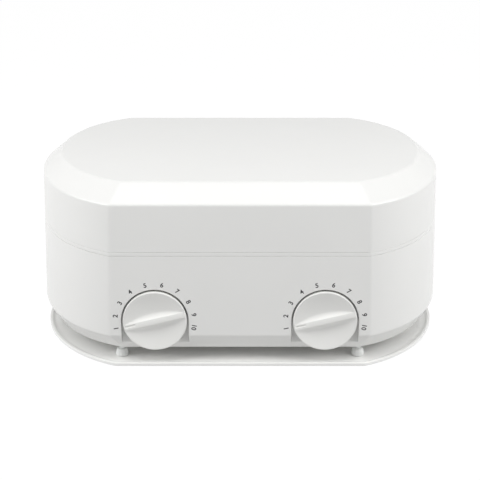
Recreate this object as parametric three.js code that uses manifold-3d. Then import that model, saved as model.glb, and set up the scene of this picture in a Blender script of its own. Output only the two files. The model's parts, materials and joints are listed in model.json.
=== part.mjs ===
// Double wax warmer: two heated wells side by side in one housing, under one lift-off lid, on a base plate.
// Millimetres. X runs to the right, Y to the back, Z up. The origin is on the surface under the base plate.
import * as THREE from "three";
import { mergeVertices } from "three/addons/utils/BufferGeometryUtils.js";
import Module from "manifold-3d";

const wasm = await Module();
wasm.setup();

// Plan: straight front and back, arched ends, rounded corners
const END_RISE = 70.5; // how far an arched end bulges past its two corners
const CORNER_RADIUS = 9;
const INNER_CORNER_RADIUS = 3; // the least that a corner keeps on the inside of the walls
const FLARE_SHARE = 0.0235; // how far the walls lean out for each millimetre below the shoulder

// Heights, from the table up
const PLATE_THICKNESS = 2;
const FOOT_HEIGHT = 12.6;
const LOWER_CHAMFER_HEIGHT = 16.9;
const RIM_BAND_HEIGHT = 3.5;
const LID_SIDE_HEIGHT = 47.2;
const LID_CHAMFER_HEIGHT = 16.3;

// Walls and the general gaps between neighbours
const WALL = 3;
const LID_WALL = 2.8;
const FIT_GAP = 0.3;
const OVERRUN = 5; // how far a cut runs past the face that it opens

// Room round the insulation of each well, which sets the plan at the lid's shoulder
const MIDDLE_CLEARANCE = 3.6; // to the plane between the two wells
const END_CLEARANCE = 33.7; // to the end of the plan
const FRONT_CLEARANCE = 29.2; // to the front and to the back of the plan

// Lower chamfer and lid chamfer
const LOWER_INSET = 9.9;
const LOWER_RISE = 71;
const LID_INSET = 18.25;
const LID_TOP_RISE = 62;
const SHOULDER_SOFTNESS = 1.6;
const TOP_EDGE_SOFTNESS = 1.8;
const LOWER_EDGE_SOFTNESS = 1.3;

// Base plate
const PLATE_OVERHANG = 1.2; // past the ends of the shoulder's plan
const PLATE_FRONT_OVERHANG = 5;
const PLATE_RISE = 73;
const PLATE_LIP_HEIGHT = 1.3;
const PLATE_LIP_WIDTH = 3;

// Feet and their screws
const FOOT_TO_END = 77.4; // from its axis to the end of the plan
const FOOT_TO_FRONT = 16;
const FOOT_RADIUS = 6.4;
const FOOT_TAPER = 1.6;
const FOOT_EDGE = 1.6;
const FOOT_SCREW_RADIUS = 1.6;
const FOOT_SCREW_HEAD_RADIUS = 3.4;
const FOOT_SCREW_HEAD_HEIGHT = 1.4;
const FOOT_SCREW_SUNK = 0.3;
const FOOT_SCREW_GRIP = 7; // how far it goes into the bottom cover's boss

// Bottom cover
const COVER_THICKNESS = 2.5;
const COVER_LEDGE_WIDTH = 2.5;
const COVER_LEDGE_HEIGHT = 2.5;
const COVER_BOSS_RADIUS = 6;
const COVER_BOSS_HEIGHT = 9;
const PAD_RIB_INSET = 23.4; // from the outside of the well
const PAD_RIB_WALL = 2;
const PAD_RIB_HEIGHT = 6.6; // from the bottom cover to the felt pad
const VENT_LENGTH = 46;
const VENT_WIDTH = 3.2;
const VENT_PITCH = 9;
const VENTS_A_SIDE = 7;

// Deck: the panel between housing and lid, with its posts down to the bottom cover
const SKIRT_HEIGHT = 6;
const SKIRT_WALL = 2;
const RIDGE_HEIGHT = 4;
const RIDGE_WALL = 2;
const RIDGE_GAP = 0.5;
const SEAT_DEPTH = 1;
const POST_RADIUS = 5;
const END_POST_TO_END = 43;
const END_POST_TO_FRONT = 44;
const MIDDLE_POST_TO_FRONT = 22;
const COVER_SCREW_RADIUS = 1.6;
const COVER_SCREW_HEAD_RADIUS = 3.4;
const COVER_SCREW_HEAD_HEIGHT = 2;
const COVER_SCREW_GRIP = 12;

// Wells and pots
const POT_RADIUS = 65; // inside
const POT_WALL = 1.5;
const POT_DEPTH = 92;
const POT_RIM_RADIUS = 1.7;
const POT_FOOT_RADIUS = 5; // the rounding between its wall and floor
const POT_GAP = 0.9;
const WELL_WALL = 2;
const WELL_FLOOR = 2;
const WELL_FLANGE_WIDTH = 6;
const WELL_FLANGE_THICKNESS = 1.6;
const WELL_HOLE_GAP = 1;
const PAD_THICKNESS = 4;
const PAD_MARGIN = 6;
const EAR_LENGTH = 14;
const EAR_WIDTH = 30;
const EAR_THICKNESS = 1.6;
const EAR_TURN_UP = 4;

// Heater bands, their screws, and the insulation round them
const BAND_THICKNESS = 2;
const BAND_HEIGHT = 38;
const BAND_LIFT = 14; // above the underside of the well
const BAND_SPLIT = 9;
const BAND_EAR_REACH = 11;
const BAND_EAR_HEIGHT = 14;
const BAND_EAR_THICKNESS = 2;
const BAND_SCREW_RADIUS = 2;
const BAND_SCREW_HEAD_RADIUS = 3.6;
const BAND_SCREW_HEAD_HEIGHT = 2.6;
const SLEEVE_GAP = 0.6;
const SLEEVE_THICKNESS = 4.5;
const SLEEVE_HEIGHT = 66;
const SLEEVE_SPLIT = 34;

// Knobs and what is behind them
const KNOB_RADIUS = 30.4;
const KNOB_HEIGHT_ABOVE_TABLE = 47.2;
const KNOB_PROUD = 1.3; // in front of the housing's face
const KNOB_BACK_GAP = 1; // between its back and the lower chamfer where the alcove comes out
const KNOB_DISH_DEPTH = 4.1;
const KNOB_RIM_WIDTH = 1.1; // outside the dish
const KNOB_RIM_EDGE = 0.9;
const KNOB_HUB_RADIUS = 6.5;
const KNOB_TAPER = 0.6;
const GRIP_TIP_WIDTH = 5.6;
const GRIP_END_WIDTH = 5.2;
const GRIP_FLANK_SHARE = 0.6; // how far a flank runs out for each millimetre that it goes down
const POINTER_TILT_DEG = 194; // anticlockwise from the right, seen from the front
const ALCOVE_GAP = 1.4;
const ALCOVE_DEPTH = 9;
const ALCOVE_REACH = 9.9; // how far it comes down over the lower chamfer
const ALCOVE_RAMP_HEIGHT = 5.4; // of its sloping floor
const SHAFT_RADIUS = 3;
const SHAFT_FLAT = 2; // from its axis to its flat
const SHAFT_LENGTH = 16;
const SHAFT_COVER = 2.5; // the knob's wall in front of the shaft
const BUSH_RADIUS = 4.8;
const BUSH_REACH = 2; // past the alcove's back wall
const NUT_FLATS_RADIUS = 7;
const NUT_THICKNESS = 1.8;
const THERMOSTAT_WIDTH = 34;
const THERMOSTAT_HEIGHT = 30;
const THERMOSTAT_DEPTH = 13;
const THERMOSTAT_CORNER = 4;
const TAB_WIDTH = 6.3;
const TAB_THICKNESS = 0.8;
const TAB_REACH = 5;
const TAB_SPACING = 16;

// Electrical pieces at the back
const GLAND_HEIGHT_ABOVE_TABLE = 52;
const GLAND_BORE_RADIUS = 4;
const GLAND_NECK_RADIUS = 7;
const GLAND_FLANGE_RADIUS = 10;
const GLAND_FLANGE_THICKNESS = 2.5;
const GLAND_NUT_RADIUS = 10.5;
const GLAND_NUT_THICKNESS = 5;
const BLOCK_WIDTH = 34;
const BLOCK_DEPTH = 16;
const BLOCK_HEIGHT = 13;
const BLOCK_WAYS = 3;
const BLOCK_HOLE_RADIUS = 2.6;
const BLOCK_TO_BACK = 40;
const FUSE_RADIUS = 3;
const FUSE_LENGTH = 14;
const FUSE_OFFSET = -13.2; // from the middle of the split in the band

// How finely round things are drawn
const ARCH_STEPS = 14;
const CORNER_STEPS = 2;
const EDGE_STEPS = 2;
const WIDE_STEPS = 32;
const MIDDLE_STEPS = 14;
const SMALL_STEPS = 8;
const ALCOVE_STEPS = 12;
const DISH_STEPS = 4;
const RIM_STEPS = 5;
const FINE_STEPS = 4;
const HEX_STEPS = 6;

// Heights that follow from the sizes above, from the bottom cover through well, pot and deck to the lid
const BODY_BOTTOM = PLATE_THICKNESS + FOOT_HEIGHT;
const LOWER_CORNER = BODY_BOTTOM + LOWER_CHAMFER_HEIGHT;
const COVER_TOP = BODY_BOTTOM + COVER_THICKNESS;
const LEDGE_TOP = COVER_TOP + COVER_LEDGE_HEIGHT;
const POST_BOTTOM = COVER_TOP + COVER_SCREW_HEAD_HEIGHT + FIT_GAP;
const PAD_BOTTOM = COVER_TOP + PAD_RIB_HEIGHT;
const WELL_BOTTOM = PAD_BOTTOM + PAD_THICKNESS;
const POT_BOTTOM = WELL_BOTTOM + WELL_FLOOR;
const POT_RIM_TOP = POT_BOTTOM + POT_WALL + POT_DEPTH;
const EAR_BOTTOM = POT_RIM_TOP - 2 * POT_RIM_RADIUS - EAR_THICKNESS;
const FLANGE_TOP = EAR_BOTTOM - 2 * FIT_GAP;
const FLANGE_BOTTOM = FLANGE_TOP - WELL_FLANGE_THICKNESS;
const DECK_TOP = FLANGE_BOTTOM + SEAT_DEPTH;
const SEAM = DECK_TOP - RIM_BAND_HEIGHT;
const SHOULDER = DECK_TOP + LID_SIDE_HEIGHT;
const LID_TOP = SHOULDER + LID_CHAMFER_HEIGHT;
const BAND_BOTTOM = WELL_BOTTOM + BAND_LIFT;
const BAND_MIDDLE = BAND_BOTTOM + BAND_HEIGHT / 2;

// Radii about a well's axis, from the pot outwards
const WELL_INNER = POT_RADIUS + POT_WALL + POT_GAP;
const WELL_OUTER = WELL_INNER + WELL_WALL;
const BAND_INNER = WELL_OUTER + FIT_GAP;
const BAND_OUTER = BAND_INNER + BAND_THICKNESS;
const BAND_SCREW_Y = BAND_OUTER + BAND_EAR_REACH / 2;
const SLEEVE_INNER = BAND_OUTER + SLEEVE_GAP;
const SLEEVE_OUTER = SLEEVE_INNER + SLEEVE_THICKNESS;

// The plan at the lid's shoulder goes round the insulation of the two wells
const WELL_SPACING = 2 * (SLEEVE_OUTER + MIDDLE_CLEARANCE);
const HALF_WIDTH = WELL_SPACING / 2 + SLEEVE_OUTER + END_CLEARANCE;
const HALF_DEPTH = SLEEVE_OUTER + FRONT_CLEARANCE;

// Where the outside of the walls is, and the planes behind and in front of it at the knobs
const lean = (z) => -FLARE_SHARE * (SHOULDER - z);
const FACE_Y = -(HALF_DEPTH - lean(KNOB_HEIGHT_ABOVE_TABLE));
const BACK_FACE_Y = HALF_DEPTH - lean(GLAND_HEIGHT_ABOVE_TABLE);
const ALCOVE_BACK = FACE_Y + ALCOVE_DEPTH;
const WALL_BEHIND_ALCOVE = ALCOVE_BACK + WALL;
const ALCOVE_EXIT = LOWER_CORNER - ALCOVE_REACH;
const ALCOVE_EXIT_Y = -(HALF_DEPTH - bodyStation(ALCOVE_EXIT).x);
const KNOB_FRONT = FACE_Y - KNOB_PROUD;
const KNOB_BACK = ALCOVE_EXIT_Y - KNOB_BACK_GAP;
const KNOB_HUB_BACK = ALCOVE_BACK - BUSH_REACH - 2 * FIT_GAP;
const SHAFT_FRONT = KNOB_FRONT + SHAFT_COVER;
const NUT_CORNER_RADIUS = NUT_FLATS_RADIUS / Math.cos(Math.PI / HEX_STEPS);

// Colours and finishes
const WHITE_PLASTIC = { color: 0xeeefec, roughness: 0.28, metalness: 0 };
const WHITE_KNOB = { color: 0xe9eae6, roughness: 0.32, metalness: 0 };
const GREY_RUBBER = { color: 0xc9cbc8, roughness: 0.75, metalness: 0 };
const DARK_PLASTIC = { color: 0x2b2b2d, roughness: 0.55, metalness: 0 };
const BLOCK_PLASTIC = { color: 0xe4dfcf, roughness: 0.5, metalness: 0 };
const PALE_FIBRE = { color: 0xd9d4c4, roughness: 0.95, metalness: 0 };
const ALUMINIUM = { color: 0xc6c8ca, roughness: 0.32, metalness: 1 };
const STEEL = { color: 0xa9abad, roughness: 0.35, metalness: 1 };
const HEATER_SKIN = { color: 0x8f7f66, roughness: 0.6, metalness: 0.2 };

// Solids

// A geometry with shared vertices merged and collapsed triangles dropped
function welded(geometry) {
  const bare = geometry.clone();
  for (const name of Object.keys(bare.attributes)) {
    if (name !== "position") bare.deleteAttribute(name);
  }
  const merged = mergeVertices(bare);
  const index = Array.from(merged.index.array);
  const kept = [];
  for (let i = 0; i < index.length; i += 3) {
    const [a, b, c] = index.slice(i, i + 3);
    if (a !== b && b !== c && c !== a) kept.push(a, b, c);
  }
  merged.setIndex(kept);
  return merged;
}

// Six times the signed volume, which is negative when the faces point inwards
function signedVolume(positions, index) {
  const corner = (i) => new THREE.Vector3().fromArray(positions, index[i] * 3);
  let sum = 0;
  for (let i = 0; i < index.length; i += 3) {
    sum += corner(i).dot(corner(i + 1).cross(corner(i + 2)));
  }
  return sum;
}

function solid(geometry) {
  const mesh = welded(geometry);
  const positions = mesh.attributes.position.array;
  const index = Array.from(mesh.index.array);
  if (signedVolume(positions, index) < 0) index.reverse();
  return new wasm.Manifold(
    new wasm.Mesh({
      numProp: 3,
      vertProperties: new Float32Array(positions),
      triVerts: new Uint32Array(index),
    }),
  );
}

function joined(first, ...others) {
  return others.reduce((sum, other) => sum.add(other), first);
}

function cut(body, ...tools) {
  return tools.reduce((rest, tool) => rest.subtract(tool), body);
}

function geometryOf(body) {
  const mesh = body.getMesh();
  const geometry = new THREE.BufferGeometry();
  const positions = new THREE.BufferAttribute(mesh.vertProperties, mesh.numProp);
  geometry.setAttribute("position", positions);
  geometry.setIndex(new THREE.BufferAttribute(mesh.triVerts, 1));
  const faceted = geometry.toNonIndexed();
  faceted.computeVertexNormals();
  return faceted;
}

// Shapes

// A closed body through rings of points, one above the other, capped at both ends
function loft(rings) {
  const count = rings[0].length;
  const positions = rings.flat().flatMap((p) => p.toArray());
  const index = [];
  for (let r = 0; r + 1 < rings.length; r += 1) {
    for (let i = 0; i < count; i += 1) {
      const a = r * count + i;
      const b = r * count + ((i + 1) % count);
      index.push(a, b, b + count, a, b + count, a + count);
    }
  }
  const last = (rings.length - 1) * count;
  for (let i = 1; i + 1 < count; i += 1) {
    index.push(0, i + 1, i);
    index.push(last, last + i, last + i + 1);
  }
  const geometry = new THREE.BufferGeometry();
  geometry.setAttribute("position", new THREE.Float32BufferAttribute(positions, 3));
  geometry.setIndex(index);
  return solid(geometry);
}

// The warmer's plan at one height. A station holds how far the plan is inset from the shoulder's, the rise
// of its arched ends, and its height. offset moves the outline inwards by the same distance all round, and
// deeper moves only the front and the back outwards.
function planRing(station, offset, deeper) {
  const halfDepth = HALF_DEPTH - station.x + deeper;
  const rise = station.y;
  const full = (rise * rise + halfDepth * halfDepth) / (2 * rise);
  const archX = HALF_WIDTH - station.x - full;
  const radius = full - offset;
  const corner = Math.max(CORNER_RADIUS - offset, INNER_CORNER_RADIUS);
  const down = halfDepth - offset - corner;
  const along = Math.sqrt((radius - corner) ** 2 - down ** 2);
  const turn = Math.atan2(down, along);
  const right = [];
  const arc = (x, y, r, from, to, steps) => {
    for (let i = 0; i <= steps; i += 1) {
      const angle = from + ((to - from) * i) / steps;
      right.push([x + r * Math.cos(angle), y + r * Math.sin(angle)]);
    }
  };
  arc(archX + along, -down, corner, -Math.PI / 2, -turn, CORNER_STEPS);
  right.pop();
  arc(archX, 0, radius, -turn, turn, ARCH_STEPS);
  right.pop();
  arc(archX + along, down, corner, turn, Math.PI / 2, CORNER_STEPS);
  const left = right.map(([x, y]) => [-x, -y]);
  return [...right, ...left].map(([x, y]) => new THREE.Vector3(x, y, station.z));
}

function station(z, inset, rise) {
  return new THREE.Vector3(inset, rise, z);
}

function planLoft(stations, offset, deeper = 0) {
  return loft(stations.map((s) => planRing(s, offset, deeper)));
}

// The same stations with one corner of the wall's profile rounded off
function softened(stations, index, length) {
  const corner = stations[index];
  const towards = (other) => corner.clone().lerp(other, length / corner.distanceTo(other));
  const curve = new THREE.QuadraticBezierCurve3(
    towards(stations[index - 1]),
    corner,
    towards(stations[index + 1]),
  );
  const rounded = curve.getPoints(EDGE_STEPS);
  return [...stations.slice(0, index), ...rounded, ...stations.slice(index + 1)];
}

// A ring-shaped wall that follows the plan, between two offsets
function planWall(low, high, outer, inner) {
  const over = new THREE.Vector3(0, 0, OVERRUN);
  const core = planLoft([low.clone().sub(over), high.clone().add(over)], inner);
  return planLoft([low, high], outer).subtract(core);
}

// A body of revolution about a vertical axis, from points of radius and height
function turned(profile, steps) {
  const points = profile.map(([r, z]) => new THREE.Vector2(r, z));
  return solid(new THREE.LatheGeometry(points, steps).rotateX(Math.PI / 2));
}

// A body of revolution about an axis that runs front to back, from points of radius and Y
function turnedAlongY(profile, steps) {
  const points = profile.map(([r, y]) => new THREE.Vector2(r, y));
  return solid(new THREE.LatheGeometry(points, steps));
}

function cylinder(radius, low, high, x, y, steps) {
  const geometry = new THREE.CylinderGeometry(radius, radius, high - low, steps);
  geometry.rotateX(Math.PI / 2).translate(x, y, (low + high) / 2);
  return solid(geometry);
}

function cylinderAlongY(radius, front, back, x, z, steps) {
  const geometry = new THREE.CylinderGeometry(radius, radius, back - front, steps);
  return solid(geometry.translate(x, (front + back) / 2, z));
}

function cylinderAlongX(radius, left, right, y, z, steps) {
  const geometry = new THREE.CylinderGeometry(radius, radius, right - left, steps);
  return solid(geometry.rotateZ(Math.PI / 2).translate((left + right) / 2, y, z));
}

function box(low, high) {
  const size = new THREE.Vector3().subVectors(high, low);
  const middle = new THREE.Vector3().addVectors(low, high).divideScalar(2);
  const geometry = new THREE.BoxGeometry(size.x, size.y, size.z);
  return solid(geometry.translate(middle.x, middle.y, middle.z));
}

const at = (x, y, z) => new THREE.Vector3(x, y, z);

function moved(body, x, y, z) {
  return body.translate([x, y, z]);
}

// Stations of the outside wall at a height

function bodyStation(z) {
  const below = Math.max(LOWER_CORNER - z, 0) / LOWER_CHAMFER_HEIGHT;
  const inset = lean(Math.max(z, LOWER_CORNER)) + LOWER_INSET * below;
  return station(z, inset, THREE.MathUtils.lerp(END_RISE, LOWER_RISE, below));
}

function lidStation(z) {
  return station(z, lean(z), END_RISE);
}

const SIDES = { left: -1, right: 1 };

// The places of the feet and of the deck's posts, by name
const FOOT_PLACES = {};
const POST_PLACES = {};
for (const [end, back] of Object.entries({ front: -1, rear: 1 })) {
  for (const [side, sign] of Object.entries(SIDES)) {
    const inset = (toEnd, toFront) => [sign * (HALF_WIDTH - toEnd), back * (HALF_DEPTH - toFront)];
    FOOT_PLACES[`${end}_${side}`] = inset(FOOT_TO_END, FOOT_TO_FRONT);
    POST_PLACES[`${end}_${side}`] = inset(END_POST_TO_END, END_POST_TO_FRONT);
  }
  POST_PLACES[`${end}_middle`] = [0, back * (HALF_DEPTH - MIDDLE_POST_TO_FRONT)];
}

// Base plate, feet and their screws

function basePlate() {
  const level = (z) => station(z, -PLATE_OVERHANG, PLATE_RISE);
  const deeper = PLATE_FRONT_OVERHANG - PLATE_OVERHANG;
  const lip = PLATE_THICKNESS + PLATE_LIP_HEIGHT;
  const slab = planLoft([0, PLATE_THICKNESS, lip].map(level), 0, deeper);
  const tray = planLoft([PLATE_THICKNESS, lip + OVERRUN].map(level), PLATE_LIP_WIDTH, deeper);
  const holes = Object.values(FOOT_PLACES).map(([x, y]) => moved(footScrewSpace(), x, y, 0));
  return cut(slab, tray, ...holes);
}

// The hole and countersink that a foot's screw leaves in the plate
function footScrewSpace() {
  const wide = FOOT_SCREW_HEAD_RADIUS + FIT_GAP;
  const narrow = FOOT_SCREW_RADIUS + FIT_GAP;
  const low = FOOT_SCREW_SUNK;
  const high = low + FOOT_SCREW_HEAD_HEIGHT;
  const profile = [
    [0, -OVERRUN],
    [wide, -OVERRUN],
    [wide, low],
    [narrow, high],
    [narrow, high + OVERRUN],
    [0, high + OVERRUN],
  ];
  return turned(profile, SMALL_STEPS);
}

function foot() {
  const top = FOOT_RADIUS - FOOT_TAPER;
  const bore = FOOT_SCREW_RADIUS + FIT_GAP;
  const profile = [
    [bore, 0],
    [FOOT_RADIUS - FOOT_EDGE, 0],
    [FOOT_RADIUS, FOOT_EDGE],
    [top, FOOT_HEIGHT - FOOT_EDGE],
    [top - FOOT_EDGE, FOOT_HEIGHT],
    [bore, FOOT_HEIGHT],
    [bore, 0],
  ];
  return moved(turned(profile, MIDDLE_STEPS), 0, 0, PLATE_THICKNESS);
}

function footScrew() {
  const low = FOOT_SCREW_SUNK;
  const head = low + FOOT_SCREW_HEAD_HEIGHT;
  const tip = BODY_BOTTOM + FOOT_SCREW_GRIP;
  const profile = [
    [0, low],
    [FOOT_SCREW_HEAD_RADIUS, low],
    [FOOT_SCREW_RADIUS, head],
    [FOOT_SCREW_RADIUS, tip - FOOT_SCREW_RADIUS],
    [0, tip],
  ];
  return turned(profile, SMALL_STEPS);
}

// Bottom cover and its screws

function bottomCover() {
  const low = bodyStation(BODY_BOTTOM);
  const high = low.clone().setZ(COVER_TOP);
  const plate = planLoft([low, high], WALL + FIT_GAP);
  const added = [];
  const removed = [];
  for (const [x, y] of Object.values(FOOT_PLACES)) {
    const top = BODY_BOTTOM + COVER_BOSS_HEIGHT;
    added.push(cylinder(COVER_BOSS_RADIUS, BODY_BOTTOM, top, x, y, SMALL_STEPS));
    const grip = FOOT_SCREW_GRIP + FIT_GAP;
    const radius = FOOT_SCREW_RADIUS + FIT_GAP;
    const low = BODY_BOTTOM - OVERRUN;
    removed.push(cylinder(radius, low, BODY_BOTTOM + grip, x, y, SMALL_STEPS));
  }
  for (const [x, y] of Object.values(POST_PLACES)) {
    const head = COVER_SCREW_HEAD_HEIGHT + FIT_GAP;
    const boss = COVER_SCREW_HEAD_RADIUS + COVER_THICKNESS;
    added.push(cylinder(boss, BODY_BOTTOM, COVER_TOP + head, x, y, SMALL_STEPS));
    const wide = COVER_SCREW_HEAD_RADIUS + FIT_GAP;
    removed.push(cylinder(wide, BODY_BOTTOM - OVERRUN, BODY_BOTTOM + head, x, y, SMALL_STEPS));
    const narrow = COVER_SCREW_RADIUS + FIT_GAP;
    removed.push(cylinder(narrow, BODY_BOTTOM, COVER_TOP + OVERRUN, x, y, SMALL_STEPS));
  }
  for (const sign of Object.values(SIDES)) {
    const x = (sign * WELL_SPACING) / 2;
    added.push(moved(padRib(), x, 0, 0));
    removed.push(...ventSlots(x));
  }
  const mouth = WALL + COVER_LEDGE_WIDTH + FIT_GAP;
  const room = planLoft([low, low.clone().setZ(PAD_BOTTOM)], mouth);
  return cut(plate.add(joined(...added).intersect(room)), ...removed);
}

// The upright ring that holds the felt pad up against a well
function padRib() {
  const outer = WELL_OUTER - PAD_RIB_INSET;
  return ringWall(outer - PAD_RIB_WALL, outer, BODY_BOTTOM, PAD_BOTTOM, MIDDLE_STEPS);
}

function ventSlots(x) {
  const slots = [];
  for (let i = 0; i < VENTS_A_SIDE; i += 1) {
    const y = (i - (VENTS_A_SIDE - 1) / 2) * VENT_PITCH;
    const low = at(x - VENT_LENGTH / 2, y - VENT_WIDTH / 2, BODY_BOTTOM - OVERRUN);
    const high = at(x + VENT_LENGTH / 2, y + VENT_WIDTH / 2, COVER_TOP + OVERRUN);
    slots.push(box(low, high));
  }
  return slots;
}

function coverScrew() {
  const low = BODY_BOTTOM + FIT_GAP;
  const neck = BODY_BOTTOM + COVER_SCREW_HEAD_HEIGHT + FIT_GAP;
  const tip = POST_BOTTOM + COVER_SCREW_GRIP;
  const profile = [
    [0, low],
    [COVER_SCREW_HEAD_RADIUS, low],
    [COVER_SCREW_HEAD_RADIUS, neck],
    [COVER_SCREW_RADIUS, neck],
    [COVER_SCREW_RADIUS, tip - COVER_SCREW_RADIUS],
    [0, tip],
  ];
  return turned(profile, SMALL_STEPS);
}

// Housing

function housing() {
  const stations = [BODY_BOTTOM, LOWER_CORNER, SEAM].map(bodyStation);
  const outside = planLoft(softened(stations, 1, LOWER_EDGE_SOFTNESS), 0);
  const bottom = (z) => bodyStation(BODY_BOTTOM).setZ(z);
  const pocket = planLoft([BODY_BOTTOM - OVERRUN, COVER_TOP].map(bottom), WALL);
  const mouth = planLoft([BODY_BOTTOM, LEDGE_TOP + FIT_GAP].map(bottom), WALL + COVER_LEDGE_WIDTH);
  const inside = [LEDGE_TOP, LOWER_CORNER, SEAM].map(bodyStation);
  const above = bodyStation(SEAM).setZ(SEAM + OVERRUN);
  const cavity = planLoft([...inside, above], WALL);
  const alcoves = Object.values(SIDES).map((sign) => (sign * WELL_SPACING) / 2);
  const wide = KNOB_RADIUS + ALCOVE_GAP;
  const front = FACE_Y - OVERRUN;
  const blocks = alcoves.map((x) => {
    const block = archPrism(wide + WALL, front, WALL_BEHIND_ALCOVE, x, LEDGE_TOP);
    return block.intersect(outside);
  });
  const hollows = alcoves.map((x) => {
    const hollow = archPrism(wide, front, ALCOVE_BACK, x, BODY_BOTTOM);
    return hollow.subtract(moved(alcoveFloor(wide + OVERRUN), x, 0, 0));
  });
  const bushHoles = alcoves.map((x) => {
    const back = WALL_BEHIND_ALCOVE + OVERRUN;
    return cylinderAlongY(BUSH_RADIUS + FIT_GAP, FACE_Y, back, x, KNOB_HEIGHT_ABOVE_TABLE, SMALL_STEPS);
  });
  const glandHole = cylinderAlongY(
    GLAND_NECK_RADIUS + FIT_GAP,
    BACK_FACE_Y - WALL - OVERRUN,
    BACK_FACE_Y + OVERRUN,
    0,
    GLAND_HEIGHT_ABOVE_TABLE,
    MIDDLE_STEPS,
  );
  const shell = joined(cut(outside, pocket, mouth, cavity), ...blocks);
  return cut(shell, ...hollows, ...bushHoles, glandHole);
}

// What stays below an alcove: its floor slopes from the back wall down and out to the lower chamfer
function alcoveFloor(half) {
  const front = FACE_Y - OVERRUN;
  const back = ALCOVE_BACK + OVERRUN;
  const slope = ALCOVE_RAMP_HEIGHT / (ALCOVE_BACK - ALCOVE_EXIT_Y);
  const high = ALCOVE_EXIT + slope * (back - ALCOVE_EXIT_Y);
  const low = BODY_BOTTOM - OVERRUN;
  const outline = (x) => [
    at(x, ALCOVE_EXIT_Y, ALCOVE_EXIT),
    at(x, front, ALCOVE_EXIT),
    at(x, front, low),
    at(x, back, low),
    at(x, back, high),
  ];
  return loft([outline(-half), outline(half)]);
}

// An upright arch seen from the front, a half circle on two straight legs, between two planes
function archPrism(radius, front, back, x, bottom) {
  const shape = new THREE.Shape();
  shape.moveTo(-radius, bottom);
  shape.lineTo(radius, bottom);
  shape.lineTo(radius, KNOB_HEIGHT_ABOVE_TABLE);
  shape.absarc(0, KNOB_HEIGHT_ABOVE_TABLE, radius, 0, Math.PI, false);
  shape.lineTo(-radius, bottom);
  const options = { depth: back - front, bevelEnabled: false, curveSegments: ALCOVE_STEPS };
  const geometry = new THREE.ExtrudeGeometry(shape, options);
  return solid(geometry.rotateX(Math.PI / 2).translate(x, back, 0));
}

// Deck

function deck() {
  const panel = planLoft([lidStation(SEAM), lidStation(DECK_TOP)], 0);
  const skirtOut = WALL + FIT_GAP;
  const skirtLow = bodyStation(SEAM - SKIRT_HEIGHT);
  const skirt = planWall(skirtLow, bodyStation(SEAM), skirtOut, skirtOut + SKIRT_WALL);
  const ridgeOut = LID_WALL + RIDGE_GAP;
  const ridgeTop = lidStation(DECK_TOP + RIDGE_HEIGHT);
  const ridge = planWall(lidStation(DECK_TOP), ridgeTop, ridgeOut, ridgeOut + RIDGE_WALL);
  const posts = [];
  const pilots = [];
  for (const [x, y] of Object.values(POST_PLACES)) {
    posts.push(cylinder(POST_RADIUS, POST_BOTTOM, SEAM, x, y, SMALL_STEPS));
    const radius = COVER_SCREW_RADIUS + FIT_GAP;
    const depth = COVER_SCREW_GRIP + FIT_GAP;
    pilots.push(cylinder(radius, POST_BOTTOM - OVERRUN, POST_BOTTOM + depth, x, y, SMALL_STEPS));
  }
  const holes = [];
  for (const sign of Object.values(SIDES)) {
    const x = (sign * WELL_SPACING) / 2;
    const top = DECK_TOP + OVERRUN;
    holes.push(cylinder(WELL_OUTER + WELL_HOLE_GAP, SEAM - OVERRUN, top, x, 0, WIDE_STEPS));
    const seat = WELL_OUTER + WELL_FLANGE_WIDTH + FIT_GAP;
    holes.push(cylinder(seat, FLANGE_BOTTOM, top, x, 0, WIDE_STEPS));
  }
  return cut(joined(panel, skirt, ridge, ...posts), ...pilots, ...holes);
}

// Wells, pads and pots

function heatingWell() {
  const profile = [
    [0, WELL_BOTTOM],
    [WELL_OUTER - WELL_WALL, WELL_BOTTOM],
    [WELL_OUTER, WELL_BOTTOM + WELL_WALL],
    [WELL_OUTER, FLANGE_BOTTOM],
    [WELL_OUTER + WELL_FLANGE_WIDTH, FLANGE_BOTTOM],
    [WELL_OUTER + WELL_FLANGE_WIDTH, FLANGE_TOP],
    [WELL_INNER, FLANGE_TOP],
    [WELL_INNER, POT_BOTTOM + WELL_FLOOR],
    [WELL_INNER - WELL_FLOOR, POT_BOTTOM],
    [0, POT_BOTTOM],
  ];
  return turned(profile, WIDE_STEPS);
}

function feltPad() {
  const radius = WELL_OUTER - PAD_MARGIN;
  const profile = [[0, PAD_BOTTOM], [radius, PAD_BOTTOM], [radius, WELL_BOTTOM], [0, WELL_BOTTOM]];
  return turned(profile, MIDDLE_STEPS);
}

// A drawn pot with a rounded foot and an outward rolled rim
function waxPot() {
  const foot = POT_FOOT_RADIUS;
  const outer = POT_RADIUS + POT_WALL;
  const floor = POT_BOTTOM + POT_WALL;
  const inside = foot - POT_WALL;
  const rimX = POT_RADIUS + POT_RIM_RADIUS;
  const rimZ = POT_RIM_TOP - POT_RIM_RADIUS;
  const curve = (x, z, r, from, to, steps) =>
    Array.from({ length: steps + 1 }, (_, i) => {
      const angle = from + ((to - from) * i) / steps;
      return [x + r * Math.cos(angle), z + r * Math.sin(angle)];
    });
  const quarter = Math.PI / 2;
  const rimUnder = -Math.asin((POT_RIM_RADIUS - POT_WALL) / POT_RIM_RADIUS) - quarter;
  const profile = [
    [0, POT_BOTTOM],
    ...curve(outer - foot, POT_BOTTOM + foot, foot, -quarter, 0, EDGE_STEPS),
    ...curve(rimX, rimZ, POT_RIM_RADIUS, rimUnder, 2 * quarter, RIM_STEPS),
    ...curve(POT_RADIUS - inside, floor + inside, inside, 0, -quarter, EDGE_STEPS),
    [0, floor],
  ];
  return turned(profile, WIDE_STEPS);
}

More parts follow.
